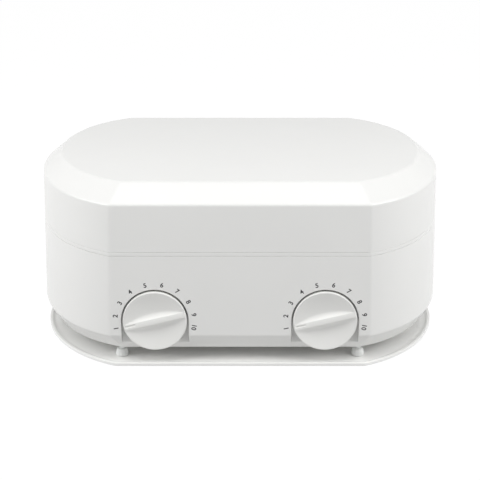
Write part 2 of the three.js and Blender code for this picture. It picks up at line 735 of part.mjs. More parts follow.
// A lifting ear: a tab under the pot's rim that ends in a short turned-up edge, at the front or the back
function potEar(side) {
  const near = POT_RADIUS + POT_WALL - EAR_THICKNESS;
  const far = POT_RADIUS + POT_WALL + EAR_LENGTH;
  const low = EAR_BOTTOM;
  const top = low + EAR_THICKNESS;
  const tab = box(at(-EAR_WIDTH / 2, near, low), at(EAR_WIDTH / 2, far, top));
  const edgeLow = at(-EAR_WIDTH / 2, far - EAR_THICKNESS, low);
  const edge = box(edgeLow, at(EAR_WIDTH / 2, far, top + EAR_TURN_UP));
  const round = cylinder(far, low - OVERRUN, top + EAR_TURN_UP + OVERRUN, 0, 0, WIDE_STEPS);
  const wall = cylinder(POT_RADIUS + POT_WALL + FIT_GAP, low - OVERRUN, top + OVERRUN, 0, 0, WIDE_STEPS);
  const ear = cut(joined(tab, edge).intersect(round), wall);
  return ear.scale([1, side, 1]);
}

// Heater bands and insulation

function ringWall(inner, outer, low, high, steps) {
  return turned([[inner, low], [outer, low], [outer, high], [inner, high], [inner, low]], steps);
}

// A clamped band round a well, split at the back, with an ear on each side of the split
function heaterBand() {
  const top = BAND_BOTTOM + BAND_HEIGHT;
  const ring = ringWall(BAND_INNER, BAND_OUTER, BAND_BOTTOM, top, WIDE_STEPS);
  const half = BAND_SPLIT / 2;
  const over = OVERRUN;
  const earLow = BAND_MIDDLE - BAND_EAR_HEIGHT / 2;
  const earHigh = BAND_MIDDLE + BAND_EAR_HEIGHT / 2;
  const ears = [-1, 1].map((side) => {
    const near = side * half;
    const far = side * (half + BAND_EAR_THICKNESS);
    const low = at(Math.min(near, far), BAND_INNER, earLow);
    return box(low, at(Math.max(near, far), BAND_OUTER + BAND_EAR_REACH, earHigh));
  });
  const split = box(at(-half, 0, BAND_BOTTOM - over), at(half, BAND_OUTER + over, top + over));
  const reach = half + BAND_EAR_THICKNESS + over;
  const bore = BAND_SCREW_RADIUS + FIT_GAP;
  const hole = cylinderAlongX(bore, -reach, reach, BAND_SCREW_Y, BAND_MIDDLE, SMALL_STEPS);
  return cut(joined(ring.subtract(split), ...ears), hole);
}

function bandScrew() {
  const half = BAND_SPLIT / 2 + BAND_EAR_THICKNESS;
  const end = half + BAND_SCREW_HEAD_HEIGHT;
  const bar = (radius, left, right, steps) =>
    cylinderAlongX(radius, left, right, BAND_SCREW_Y, BAND_MIDDLE, steps);
  const shank = bar(BAND_SCREW_RADIUS, -half, end + BAND_SCREW_RADIUS, SMALL_STEPS);
  const head = bar(BAND_SCREW_HEAD_RADIUS, -end, -half, SMALL_STEPS);
  const nut = bar(BAND_SCREW_HEAD_RADIUS, half, end, HEX_STEPS);
  return joined(shank, head, nut);
}

function insulationSleeve() {
  const low = WELL_BOTTOM;
  const high = low + SLEEVE_HEIGHT;
  const ring = ringWall(SLEEVE_INNER, SLEEVE_OUTER, low, high, WIDE_STEPS);
  const half = SLEEVE_SPLIT / 2;
  const far = at(half, SLEEVE_OUTER + OVERRUN, high + OVERRUN);
  return ring.subtract(box(at(-half, 0, low - OVERRUN), far));
}

// Knobs, shafts and thermostats

// A disc with a dished front, and a hub at its back that reaches nearly to the thermostat's bush
function knobDisc() {
  const rim = KNOB_RADIUS - KNOB_RIM_WIDTH;
  const dish = (share) => [rim * share, KNOB_FRONT + KNOB_DISH_DEPTH * (1 - share * share)];
  const profile = [
    ...Array.from({ length: DISH_STEPS + 1 }, (_, i) => dish(i / DISH_STEPS)),
    [KNOB_RADIUS, KNOB_FRONT + KNOB_RIM_EDGE],
    [KNOB_RADIUS - KNOB_TAPER, KNOB_BACK],
    [KNOB_HUB_RADIUS, KNOB_BACK],
    [KNOB_HUB_RADIUS, KNOB_HUB_BACK],
    [0, KNOB_HUB_BACK],
  ];
  return turnedAlongY(profile, WIDE_STEPS);
}

// The straight grip across the dish: a flat crest that widens away from the pointer, and sloping flanks
function gripBar() {
  const reach = KNOB_RADIUS - KNOB_RIM_WIDTH;
  const deep = KNOB_DISH_DEPTH + KNOB_RIM_EDGE;
  const section = (x, width) => {
    const crest = width / 2;
    const base = crest + deep * GRIP_FLANK_SHARE;
    return [
      at(x, KNOB_FRONT, crest),
      at(x, KNOB_FRONT + deep, base),
      at(x, KNOB_FRONT + deep, -base),
      at(x, KNOB_FRONT, -crest),
    ];
  };
  const bar = loft([section(-reach, GRIP_END_WIDTH), section(reach, GRIP_TIP_WIDTH)]);
  const limit = cylinderAlongY(reach, KNOB_FRONT - OVERRUN, KNOB_FRONT + deep + OVERRUN, 0, 0, WIDE_STEPS);
  return bar.intersect(limit);
}

// A round shaft with one flat along it
function shaftBar(radius, flat, front, back) {
  const shape = new THREE.Shape();
  const angle = Math.acos(flat / radius);
  shape.absarc(0, 0, radius, angle, 2 * Math.PI - angle, false);
  shape.closePath();
  const options = { depth: back - front, bevelEnabled: false, curveSegments: SMALL_STEPS };
  const geometry = new THREE.ExtrudeGeometry(shape, options);
  return solid(geometry.rotateX(Math.PI / 2).translate(0, back, 0));
}

function knob() {
  const [radius, flat] = [SHAFT_RADIUS, SHAFT_FLAT].map((size) => size + FIT_GAP);
  const bore = shaftBar(radius, flat, SHAFT_FRONT - FIT_GAP, KNOB_HUB_BACK + OVERRUN);
  const body = cut(joined(knobDisc(), gripBar()), bore);
  return body.rotate([0, -POINTER_TILT_DEG, 0]);
}

function thermostatShaft() {
  const shaft = shaftBar(SHAFT_RADIUS, SHAFT_FLAT, SHAFT_FRONT, SHAFT_FRONT + SHAFT_LENGTH);
  return shaft.rotate([0, -POINTER_TILT_DEG, 0]);
}

function roundedRectangle(width, height, corner) {
  const [x, y] = [width / 2 - corner, height / 2 - corner];
  const shape = new THREE.Shape();
  shape.absarc(x, y, corner, 0, Math.PI / 2, false);
  shape.absarc(-x, y, corner, Math.PI / 2, Math.PI, false);
  shape.absarc(-x, -y, corner, Math.PI, 1.5 * Math.PI, false);
  shape.absarc(x, -y, corner, 1.5 * Math.PI, 2 * Math.PI, false);
  return shape;
}

function thermostat() {
  const front = WALL_BEHIND_ALCOVE;
  const back = front + THERMOSTAT_DEPTH;
  const shape = roundedRectangle(THERMOSTAT_WIDTH, THERMOSTAT_HEIGHT, THERMOSTAT_CORNER);
  const options = { depth: THERMOSTAT_DEPTH, bevelEnabled: false, curveSegments: FINE_STEPS };
  const geometry = new THREE.ExtrudeGeometry(shape, options);
  const can = solid(geometry.rotateX(Math.PI / 2).translate(0, back, 0));
  const bushFront = ALCOVE_BACK - BUSH_REACH;
  const bush = cylinderAlongY(BUSH_RADIUS, bushFront, front + WALL, 0, 0, SMALL_STEPS);
  const tabs = [-1, 1].map((side) => {
    const x = (side * TAB_SPACING) / 2;
    const low = at(x - TAB_WIDTH / 2, back - WALL, -TAB_THICKNESS / 2);
    return box(low, at(x + TAB_WIDTH / 2, back + TAB_REACH, TAB_THICKNESS / 2));
  });
  const boreBack = SHAFT_FRONT + SHAFT_LENGTH + FIT_GAP;
  const boreRadius = SHAFT_RADIUS + FIT_GAP;
  const bore = cylinderAlongY(boreRadius, FACE_Y - OVERRUN, boreBack, 0, 0, SMALL_STEPS);
  return cut(joined(can, bush, ...tabs), bore);
}

function thermostatNut() {
  const front = ALCOVE_BACK - NUT_THICKNESS;
  const nut = cylinderAlongY(NUT_CORNER_RADIUS, front, ALCOVE_BACK, 0, 0, HEX_STEPS);
  const bore = BUSH_RADIUS + FIT_GAP;
  return nut.subtract(cylinderAlongY(bore, front - OVERRUN, ALCOVE_BACK + OVERRUN, 0, 0, SMALL_STEPS));
}

// Electrical pieces

function cordGland() {
  const outside = BACK_FACE_Y + GLAND_FLANGE_THICKNESS;
  const inside = BACK_FACE_Y - WALL - FIT_GAP;
  const end = inside - GLAND_NUT_THICKNESS;
  const profile = [
    [GLAND_BORE_RADIUS, end],
    [GLAND_NUT_RADIUS, end],
    [GLAND_NUT_RADIUS, inside],
    [GLAND_NECK_RADIUS, inside],
    [GLAND_NECK_RADIUS, BACK_FACE_Y + FIT_GAP],
    [GLAND_FLANGE_RADIUS, BACK_FACE_Y + FIT_GAP],
    [GLAND_FLANGE_RADIUS - GLAND_FLANGE_THICKNESS / 2, outside],
    [GLAND_BORE_RADIUS, outside],
    [GLAND_BORE_RADIUS, end],
  ];
  return moved(turnedAlongY(profile, MIDDLE_STEPS), 0, 0, GLAND_HEIGHT_ABOVE_TABLE);
}

// A row of screw terminals on the bottom cover: a hole through it for each way, and a screw well on top
function terminalBlock() {
  const y = HALF_DEPTH - BLOCK_TO_BACK;
  const low = at(-BLOCK_WIDTH / 2, y - BLOCK_DEPTH / 2, COVER_TOP);
  const high = at(BLOCK_WIDTH / 2, y + BLOCK_DEPTH / 2, COVER_TOP + BLOCK_HEIGHT);
  const pitch = BLOCK_WIDTH / BLOCK_WAYS;
  const tools = [];
  for (let i = 0; i < BLOCK_WAYS; i += 1) {
    const x = (i - (BLOCK_WAYS - 1) / 2) * pitch;
    const middle = COVER_TOP + BLOCK_HEIGHT / 2;
    const [front, back] = [low.y - OVERRUN, high.y + OVERRUN];
    tools.push(cylinderAlongY(BLOCK_HOLE_RADIUS, front, back, x, middle, SMALL_STEPS));
    tools.push(cylinder(BLOCK_HOLE_RADIUS, middle, high.z + OVERRUN, x, y, SMALL_STEPS));
  }
  return cut(box(low, high), ...tools);
}

// A thermal fuse that stands against a heater band, in the split of the insulation
function thermalFuse() {
  const barrel = new THREE.CapsuleGeometry(FUSE_RADIUS, FUSE_LENGTH, EDGE_STEPS, SMALL_STEPS);
  barrel.rotateX(Math.PI / 2);
  const reach = BAND_OUTER + FUSE_RADIUS + FIT_GAP;
  const y = Math.sqrt(reach ** 2 - FUSE_OFFSET ** 2);
  return solid(barrel.translate(FUSE_OFFSET, y, BAND_MIDDLE));
}

// Lid

function lid() {
  const edge = lidStation(DECK_TOP);
  const shoulder = lidStation(SHOULDER);
  const rim = station(LID_TOP, LID_INSET, LID_TOP_RISE);
  const crown = station(LID_TOP, LID_INSET * 2, LID_TOP_RISE);
  const topSoftened = softened([edge, shoulder, rim, crown], 2, TOP_EDGE_SOFTNESS);
  const outside = planLoft(softened(topSoftened, 1, SHOULDER_SOFTNESS), 0);
  const drop = new THREE.Vector3(0, 0, -LID_WALL);
  const below = lidStation(DECK_TOP).setZ(DECK_TOP - OVERRUN);
  const inner = [below, edge, shoulder.clone().add(drop), rim.clone().add(drop)];
  return cut(outside, planLoft(inner, LID_WALL));
}

// The whole warmer

const warmer = new THREE.Group();

function add(name, body, finish, place = [0, 0, 0]) {
  const mesh = new THREE.Mesh(geometryOf(body), new THREE.MeshStandardMaterial(finish));
  mesh.name = name;
  mesh.position.set(...place);
  warmer.add(mesh);
}

add("base_plate", basePlate(), WHITE_PLASTIC);
for (const [name, [x, y]] of Object.entries(FOOT_PLACES)) {
  add(`foot_${name}`, foot(), GREY_RUBBER, [x, y, 0]);
  add(`foot_screw_${name}`, footScrew(), STEEL, [x, y, 0]);
}
add("bottom_cover", bottomCover(), WHITE_PLASTIC);
for (const [name, [x, y]] of Object.entries(POST_PLACES)) {
  add(`cover_screw_${name}`, coverScrew(), STEEL, [x, y, 0]);
}
add("housing", housing(), WHITE_PLASTIC);
add("deck", deck(), WHITE_PLASTIC);
add("cord_gland", cordGland(), WHITE_PLASTIC);
add("terminal_block", terminalBlock(), BLOCK_PLASTIC);
for (const [side, sign] of Object.entries(SIDES)) {
  const x = (sign * WELL_SPACING) / 2;
  add(`heating_well_${side}`, heatingWell(), ALUMINIUM, [x, 0, 0]);
  add(`felt_pad_${side}`, feltPad(), PALE_FIBRE, [x, 0, 0]);
  add(`heater_band_${side}`, heaterBand(), HEATER_SKIN, [x, 0, 0]);
  add(`band_screw_${side}`, bandScrew(), STEEL, [x, 0, 0]);
  add(`insulation_${side}`, insulationSleeve(), PALE_FIBRE, [x, 0, 0]);
  add(`thermal_fuse_${side}`, thermalFuse(), WHITE_KNOB, [x, 0, 0]);
  add(`wax_pot_${side}`, waxPot(), ALUMINIUM, [x, 0, 0]);
  add(`pot_ear_front_${side}`, potEar(-1), STEEL, [x, 0, 0]);
  add(`pot_ear_rear_${side}`, potEar(1), STEEL, [x, 0, 0]);
  add(`thermostat_${side}`, thermostat(), DARK_PLASTIC, [x, 0, KNOB_HEIGHT_ABOVE_TABLE]);
  add(`thermostat_nut_${side}`, thermostatNut(), STEEL, [x, 0, KNOB_HEIGHT_ABOVE_TABLE]);
  add(`thermostat_shaft_${side}`, thermostatShaft(), STEEL, [x, 0, KNOB_HEIGHT_ABOVE_TABLE]);
  add(`knob_${side}`, knob(), WHITE_KNOB, [x, 0, KNOB_HEIGHT_ABOVE_TABLE]);
}
add("lid", lid(), WHITE_PLASTIC);

export default warmer;
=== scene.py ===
import json
import math

import bmesh
import bpy
import numpy as np
from mathutils import Matrix, Vector

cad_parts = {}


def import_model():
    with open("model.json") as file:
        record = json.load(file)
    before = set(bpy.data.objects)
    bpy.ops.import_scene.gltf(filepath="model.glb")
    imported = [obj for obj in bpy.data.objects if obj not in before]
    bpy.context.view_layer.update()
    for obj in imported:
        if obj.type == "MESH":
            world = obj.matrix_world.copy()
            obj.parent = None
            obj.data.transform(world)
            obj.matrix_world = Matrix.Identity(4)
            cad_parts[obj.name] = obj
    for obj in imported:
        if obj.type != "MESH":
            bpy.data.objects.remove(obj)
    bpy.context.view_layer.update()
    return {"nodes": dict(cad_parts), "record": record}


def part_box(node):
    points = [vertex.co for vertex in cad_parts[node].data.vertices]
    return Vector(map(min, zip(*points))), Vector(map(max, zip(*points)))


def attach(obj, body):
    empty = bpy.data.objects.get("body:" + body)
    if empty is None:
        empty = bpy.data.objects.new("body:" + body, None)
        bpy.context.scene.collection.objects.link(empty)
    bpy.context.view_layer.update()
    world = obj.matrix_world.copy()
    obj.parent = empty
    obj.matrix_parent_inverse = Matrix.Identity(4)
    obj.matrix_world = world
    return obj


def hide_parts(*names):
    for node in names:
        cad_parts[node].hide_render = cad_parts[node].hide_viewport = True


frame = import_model()

# Looks of a double wax warmer, built round its CAD model. Sizes are in millimetres and turned into metres
# only where Blender is given them. X runs to the right, Y to the back, Z up.
# A softness is about how far from a corner its rounding starts.
MM = 0.001

# Walls, gaps and the plan's form, as in the CAD model
END_RISE = 70.5
CORNER_RADIUS = 9.0
INNER_CORNER_RADIUS = 3.0
FLARE_SHARE = 0.0235
WALL = 3.0
LID_WALL = 2.8
FIT_GAP = 0.3
OVERRUN = 5.0

# Housing, lid and deck
LOWER_CHAMFER_HEIGHT = 16.9
LOWER_INSET = 9.9
LOWER_RISE = 71.0
LOWER_EDGE_SOFTNESS = 1.3
LID_CHAMFER_HEIGHT = 16.3
LID_INSET = 18.25
LID_TOP_RISE = 62.0
SHOULDER_SOFTNESS = 1.6
TOP_EDGE_SOFTNESS = 1.8
INSIDE_SOFTNESS = 3.0
SHARP_EDGE_SOFTNESS = 0.55
SEAM_SOFTNESS = 0.4
SEAM_GAP = 0.25
LID_SEAM_GAP = 0.15
SEAM_DEPTH = 1.8
COVER_THICKNESS = 2.5
COVER_LEDGE_WIDTH = 2.5
COVER_LEDGE_HEIGHT = 2.5
SKIRT_HEIGHT = 6.0
SKIRT_WALL = 2.0
SKIRT_SOFTNESS = 0.5
RIDGE_HEIGHT = 4.0
RIDGE_WALL = 2.0
RIDGE_GAP = 0.5
RIDGE_SOFTNESS = 0.6
SEAT_DEPTH = 1.0
POST_RADIUS = 5.0
POST_SCREW_BORE = 1.9
COVER_SCREW_GRIP = 12.0

# Base plate, feet and their screws
PLATE_THICKNESS = 2.0
PLATE_LIP_HEIGHT = 1.3
PLATE_LIP_WIDTH = 3.0
PLATE_OVERHANG = 1.2
PLATE_FRONT_OVERHANG = 5.0
PLATE_RISE = 73.0
PLATE_EDGE_SOFTNESS = 0.6
PLATE_LIP_FOOT = 5.2
PLATE_LIP_FOOT_SOFTNESS = 3.0
FOOT_RADIUS = 6.4
FOOT_TAPER = 1.2
FOOT_EDGE_SOFTNESS = 1.9
FOOT_DOME_SOFTNESS = 3.2
FOOT_NECK_RADIUS = 3.0
FOOT_NECK_HEIGHT = 5.2
FOOT_BORE = 1.9
SCREW_HEAD_RADIUS = 3.4
SCREW_HEAD_HEIGHT = 1.4
SCREW_HEAD_SOFTNESS = 0.2
SCREW_RADIUS = 1.6
SCREW_NECK_SOFTNESS = 0.3
SCREW_TIP_SOFTNESS = 0.4
SCREW_SUNK = 0.3
RECESS_LENGTH = 3.4
RECESS_WIDTH = 0.8
RECESS_DEPTH = 1.0
RECESS_FLOOR_SHARE = 0.45

# Wells, pots and their ears
WELL_WALL = 2.0
WELL_FLOOR = 2.0
WELL_FLANGE_WIDTH = 6.0
WELL_FLANGE_THICKNESS = 1.6
WELL_HOLE_GAP = 1.0
WELL_BASE_SOFTNESS = 0.8
WELL_FLANGE_SOFTNESS = 0.5
WELL_MOUTH_SOFTNESS = 0.7
WELL_INSIDE_SOFTNESS = 1.0
POT_RADIUS = 65.0
POT_WALL = 1.5
POT_GAP = 0.9
POT_RIM_RADIUS = 1.7
POT_FOOT_RADIUS = 5.0
EAR_LENGTH = 14.0
EAR_WIDTH = 30.0
EAR_THICKNESS = 1.6
EAR_TURN_UP = 4.0
EAR_CORNER = 5.0
EAR_DRAW_IN_SHARE = 0.75
EAR_TURN_UP_LOSS_SHARE = 0.5
EAR_OUTER_BEND_SOFTNESS = 2.2
EAR_INNER_BEND_SOFTNESS = 1.2
EAR_EDGE_SOFTNESS = 0.6

# Knobs, the alcoves that they stand in, and the marks round them
KNOB_RADIUS = 30.4
KNOB_PROUD = 1.3
KNOB_THICKNESS = 5.7
KNOB_DISH_DEPTH = 4.1
KNOB_RIM_WIDTH = 1.1
KNOB_TAPER = 0.6
KNOB_BORE = 3.3
KNOB_HUB_RADIUS = 6.5
KNOB_BACK_SOFTNESS = 0.4
KNOB_HUB_SOFTNESS = 0.3
DISH_RADIUS = KNOB_RADIUS - KNOB_RIM_WIDTH
BUSH_BORE = 5.1
BUSH_REACH = 2.0
SHAFT_COVER = 2.5
GRIP_TIP_WIDTH = 5.6
GRIP_END_WIDTH = 5.2
GRIP_UPPER_FLANK_SHARE = 0.72
GRIP_LOWER_FLANK_SHARE = 1.1
GRIP_CROWN = 0.25
GRIP_PROUD = 0.7
GRIP_LEAN_SHARE = 0.15  # how much deeper the crest lies for each millimetre across it
GRIP_CREST_SOFTNESS = 0.3
GRIP_UPPER_FOOT_SOFTNESS = 4.8
GRIP_LOWER_FOOT_SOFTNESS = 2.6
POINTER_TILT_DEG = 194.0
POINTER_GROOVE_LENGTH = 11.0
POINTER_GROOVE_WIDTH = 2.1
POINTER_GROOVE_ASIDE = -0.7
POINTER_GROOVE_DEPTH = 1.1
ALCOVE_GAP = 1.4
ALCOVE_DEPTH = 9.0
ALCOVE_REACH = 8.9
ALCOVE_RAMP_FOOT = 7.5
ALCOVE_RAMP_HEIGHT = 14.0
ALCOVE_LIP = 0.9
NUMERAL_RING_RADIUS = 37.3
NUMERAL_HEIGHT = 4.4
NUMERAL_HEIGHT_SHARE = 0.7  # a figure's height as a share of its font's size
NUMERAL_PROUD = 0.04
NUMERAL_BOLDNESS = 0.03
NUMERAL_ROUNDING = 0.15
NUMERAL_COUNT = 10
NUMERAL_MIDDLE_DEG = 91.0
NUMERAL_STEP_DEG = -24.3
NUMERAL_CROWDING_DEG = 0.09

# Cord gland
GLAND_BORE_RADIUS = 4.0
GLAND_NECK_RADIUS = 7.0
GLAND_FLANGE_RADIUS = 10.0
GLAND_FLANGE_THICKNESS = 2.5
GLAND_NUT_RADIUS = 10.5
GLAND_NUT_THICKNESS = 5.0
GLAND_EDGE_SOFTNESS = 0.5
GLAND_FACE_SOFTNESS = 0.8
GLAND_MOUTH_SOFTNESS = 0.6

# How finely curves are drawn
ARCH_STEPS = 72
CORNER_STEPS = 10
EDGE_STEPS = 6
ROUND_STEPS = 128
SMALL_STEPS = 48
ALCOVE_STEPS = 72
ALCOVE_LEG_STEPS = 24
ALCOVE_LIP_STEPS = 5
EAR_COLUMNS = 28
GRIP_COLUMNS = 120
GROOVE_ROWS = 9
CREST_ROWS = 6
CREST_ROWS_SHARE = 0.7  # of the crest's softness that its rows take on each side of its edge
FLANK_ROWS = 5
FOOT_ROWS = 7
FOOT_ROWS_SHARE = 0.75  # of the foot's softness that its rows take towards the crest
GRIP_ROWS_SHARE = 0.98  # of the way to the rim that the grip's rows may take
DISH_ROWS = 14
SMOOTH_ANGLE_DEG = 32.0
WELD_DISTANCE = 1e-7  # metres

SIDES = {"left": -1, "right": 1}


# The frame's own heights and places


def box_mm(node):
    """Lowest and highest corner of a CAD node."""
    low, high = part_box(node)
    return np.array(low) / MM, np.array(high) / MM


def middle_mm(node):
    """The middle of a CAD node's box."""
    low, high = box_mm(node)
    return (low + high) / 2


def nodes_named(start):
    """Names of the CAD nodes that begin with start."""
    return [node for node in frame["nodes"] if node.startswith(start)]


FOOT_NODES = [node for node in nodes_named("foot_") if "screw" not in node]
BODY_BOTTOM = box_mm("housing")[0][2]
SEAM = box_mm("housing")[1][2]
DECK_TOP = box_mm("lid")[0][2]
LID_TOP = box_mm("lid")[1][2]
SHOULDER = LID_TOP - LID_CHAMFER_HEIGHT
LOWER_CORNER = BODY_BOTTOM + LOWER_CHAMFER_HEIGHT
COVER_TOP = BODY_BOTTOM + COVER_THICKNESS
LEDGE_TOP = COVER_TOP + COVER_LEDGE_HEIGHT
HALF_WIDTH = box_mm("lid")[1][0] - FLARE_SHARE * (SHOULDER - DECK_TOP)
HALF_DEPTH = box_mm("lid")[1][1] - FLARE_SHARE * (SHOULDER - DECK_TOP)
WELL_X = middle_mm("wax_pot_right")[0]
WELL_BOTTOM = box_mm("heating_well_left")[0][2]
FLANGE_TOP = box_mm("heating_well_left")[1][2]
POT_BOTTOM = box_mm("wax_pot_left")[0][2]
POT_RIM_TOP = box_mm("wax_pot_left")[1][2]
EAR_BOTTOM = box_mm("pot_ear_front_left")[0][2]
KNOB_HEIGHT = middle_mm("thermostat_left")[2]
GLAND_HEIGHT = middle_mm("cord_gland")[2]
WELL_INNER = POT_RADIUS + POT_WALL + POT_GAP
WELL_OUTER = WELL_INNER + WELL_WALL
FLANGE_BOTTOM = FLANGE_TOP - WELL_FLANGE_THICKNESS


def lean(z):
    """How far the plan at a height lies inside the shoulder's, which is negative where the walls lean out."""
    return -FLARE_SHARE * (SHOULDER - z)


FACE_Y = -(HALF_DEPTH - lean(KNOB_HEIGHT))
BACK_FACE_Y = HALF_DEPTH - lean(GLAND_HEIGHT)
ALCOVE_BACK = FACE_Y + ALCOVE_DEPTH
ALCOVE_EXIT = LOWER_CORNER - ALCOVE_REACH


# Profiles and rings


def station(z, inset=None, rise=END_RISE, offset=0.0):
    """A point of a wall's profile: the plan's inset, the rise of its ends, how far inside the plan the point
    lies, and its height."""
    return np.array([lean(z) if inset is None else inset, rise, offset, z], float)


def body_station(z, offset=0.0):
    """A point of the housing's wall, whose plan draws in below its lower corner."""
    below = max(LOWER_CORNER - z, 0.0) / LOWER_CHAMFER_HEIGHT
    inset = lean(max(z, LOWER_CORNER)) + LOWER_INSET * below
    return station(z, inset, END_RISE + (LOWER_RISE - END_RISE) * below, offset)


ALCOVE_EXIT_Y = -(HALF_DEPTH - body_station(ALCOVE_EXIT)[0])
KNOB_FRONT = FACE_Y - KNOB_PROUD
KNOB_BACK = KNOB_FRONT + KNOB_THICKNESS
KNOB_HUB_BACK = ALCOVE_BACK - BUSH_REACH - 2 * FIT_GAP


def softened(profile, softness):
    """The profile with some corners rounded. softness maps a corner's index to how far from it its rounding
    starts, which is at most half way to the next corner."""
    rounded = []
    for i, corner in enumerate(profile):
        if i not in softness:
            rounded.append(corner)
            continue
        ends = []
        for other in (profile[i - 1], profile[i + 1]):
            span = np.linalg.norm(other - corner)
            ends.append(corner + (other - corner) * min(softness[i] / span, 0.5))
        for t in np.linspace(0, 1, EDGE_STEPS + 1):
            rounded.append((1 - t) ** 2 * ends[0] + 2 * t * (1 - t) * corner + t**2 * ends[1])
    return rounded


def arc(x, y, radius, start, end, steps):
    """Points of a circular arc in a plane."""
    angle = np.linspace(start, end, steps + 1)
    return np.column_stack([x + radius * np.cos(angle), y + radius * np.sin(angle)])


def plan_ring(point, deeper=0.0):
    """The warmer's plan at one point of a wall's profile: straight front and back, arched ends and rounded
    corners. deeper moves only the front and the back outwards."""
    inset, rise, offset, z = point
    half_depth = HALF_DEPTH - inset + deeper
    plan_radius = (rise**2 + half_depth**2) / (2 * rise)
    arch_x = HALF_WIDTH - inset - plan_radius
    radius = plan_radius - offset
    corner = max(CORNER_RADIUS - offset, INNER_CORNER_RADIUS)
    down = half_depth - offset - corner
    along = math.sqrt((radius - corner) ** 2 - down**2)
    turn = math.atan2(down, along)
    right = np.concatenate(
        [
            arc(arch_x + along, -down, corner, -math.pi / 2, -turn, CORNER_STEPS)[:-1],
            arc(arch_x, 0, radius, -turn, turn, ARCH_STEPS)[:-1],
            arc(arch_x + along, down, corner, turn, math.pi / 2, CORNER_STEPS),
        ]
    )
    outline = np.concatenate([right, -right])
    return np.column_stack([outline, np.full(len(outline), z)])


def points(*pairs):
    """Pairs of numbers as a list of arrays, for a profile."""
    return [np.array(pair, float) for pair in pairs]


# Mesh objects


def object_of(name, data):
    """A new object in the scene, for a mesh, a text, a light or a camera."""
    made = bpy.data.objects.new(name, data)
    bpy.context.scene.collection.objects.link(made)
    return made


def object_from(bm, name):
    """A new object whose mesh is bm, welded and with its faces turned outwards."""
    bmesh.ops.remove_doubles(bm, verts=bm.verts, dist=WELD_DISTANCE)
    bmesh.ops.recalc_face_normals(bm, faces=bm.faces)
    mesh = bpy.data.meshes.new(name)
    bm.to_mesh(mesh)
    bm.free()
    return object_of(name, mesh)


def mesh_of(target):
    """A mesh of an object as it looks with its modifiers."""
    bpy.context.view_layer.update()
    evaluated = target.evaluated_get(bpy.context.evaluated_depsgraph_get())
    return bpy.data.meshes.new_from_object(evaluated)


def skinned(name, rings, capped=False):
    """A body through rings of points. Its ends are capped, or else close on an axis or on each other."""
    bm = bmesh.new()
    rows = [[bm.verts.new(p * MM) for p in ring] for ring in rings]
    for low, high in zip(rows, rows[1:]):
        for i, corner in enumerate(low):
            j = (i + 1) % len(low)
            bm.faces.new((corner, low[j], high[j], high[i]))
    if capped:
        bm.faces.new(rows[0][::-1])
        bm.faces.new(rows[-1])
    return object_from(bm, name)


def loft(name, profile, deeper=0.0):
    """A capped body that follows the plan along a wall's profile."""
    return skinned(name, [plan_ring(point, deeper) for point in profile], capped=True)


def turned(name, profile, steps, place, along_y=False):
    """A body of revolution about an upright axis, or about one along Y, from points of radius and height."""
    angle = np.arange(steps) * 2 * math.pi / steps
    rings = []
    for radius, height in profile:
        x, y = radius * np.cos(angle), radius * np.sin(angle)
        level = np.full(steps, height)
        columns = (x, level, y) if along_y else (x, y, level)
        rings.append(np.column_stack(columns) + np.array(place, float))
    return skinned(name, rings)


def prism(name, outline, low, high, axis):
    """A straight body between two levels along an axis, from an outline in the other two axes."""
    rings = [np.insert(outline, axis, level, axis=1) for level in (low, high)]
    return skinned(name, rings, capped=True)


def cylinder(name, radius, low, high, place, along_y=False):
    """A post, or the cutter for a hole, upright or along Y."""
    profile = points((0, low), (radius, low), (radius, high), (0, high))
    return turned(name, profile, SMALL_STEPS, place, along_y)


def combined(target, others, operation):
    """The object joined with, or cut by, other objects, which are used up."""
    for other in others:
        modifier = target.modifiers.new("shape", "BOOLEAN")
        modifier.operation = operation
        modifier.solver = "MANIFOLD"
        modifier.object = other
        mesh = mesh_of(target)
        target.modifiers.clear()
        target.data = mesh
        bpy.data.objects.remove(other)
    return target


def cut(target, *others):
    """The object without the space of the others."""
    return combined(target, others, "DIFFERENCE")


def joined(target, *others):
    """The object in one with the others."""
    return combined(target, others, "UNION")


def finished(target, body, slot, material, *nodes):
    """Shades a piece, gives it its material and lets it ride on its body. It takes the place of the CAD nodes
    that are named, if any."""
    target.data.shade_smooth()
    target.data.set_sharp_from_angle(angle=math.radians(SMOOTH_ANGLE_DEG))
    weighted = target.modifiers.new("normals", "WEIGHTED_NORMAL")
    weighted.keep_sharp = True
    target.data.materials.clear()
    target.data.materials.append(material)
    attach(target, body)
    if nodes:
        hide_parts(*nodes)


# Materials, whose noise sizes and bump depths are in millimetres

SPIN_STRETCH = 1.5  # how far round the axis the rings' noise moves for each radian
FIBRE_STRETCH = (1.0, 1.0, 0.2)
HEATER_BAND_PITCH = 6.0


class Nodes:
    """Builds a node tree, with a line for each node."""

    def __init__(self, tree):
        self.tree = tree

    def add(self, kind, inputs=None):
        made = self.tree.nodes.new(kind)
        for key, value in (inputs or {}).items():
            self.feed(made.inputs[key], value)
        return made

    def feed(self, socket, value):
        if isinstance(value, bpy.types.NodeSocket):
            self.tree.links.new(value, socket)
        else:
            socket.default_value = value

    def maths(self, operation, *values):
        made = self.add("ShaderNodeMath")
        made.operation = operation
        for socket, value in zip(made.inputs, values):
            self.feed(socket, value)
        return made.outputs["Value"]


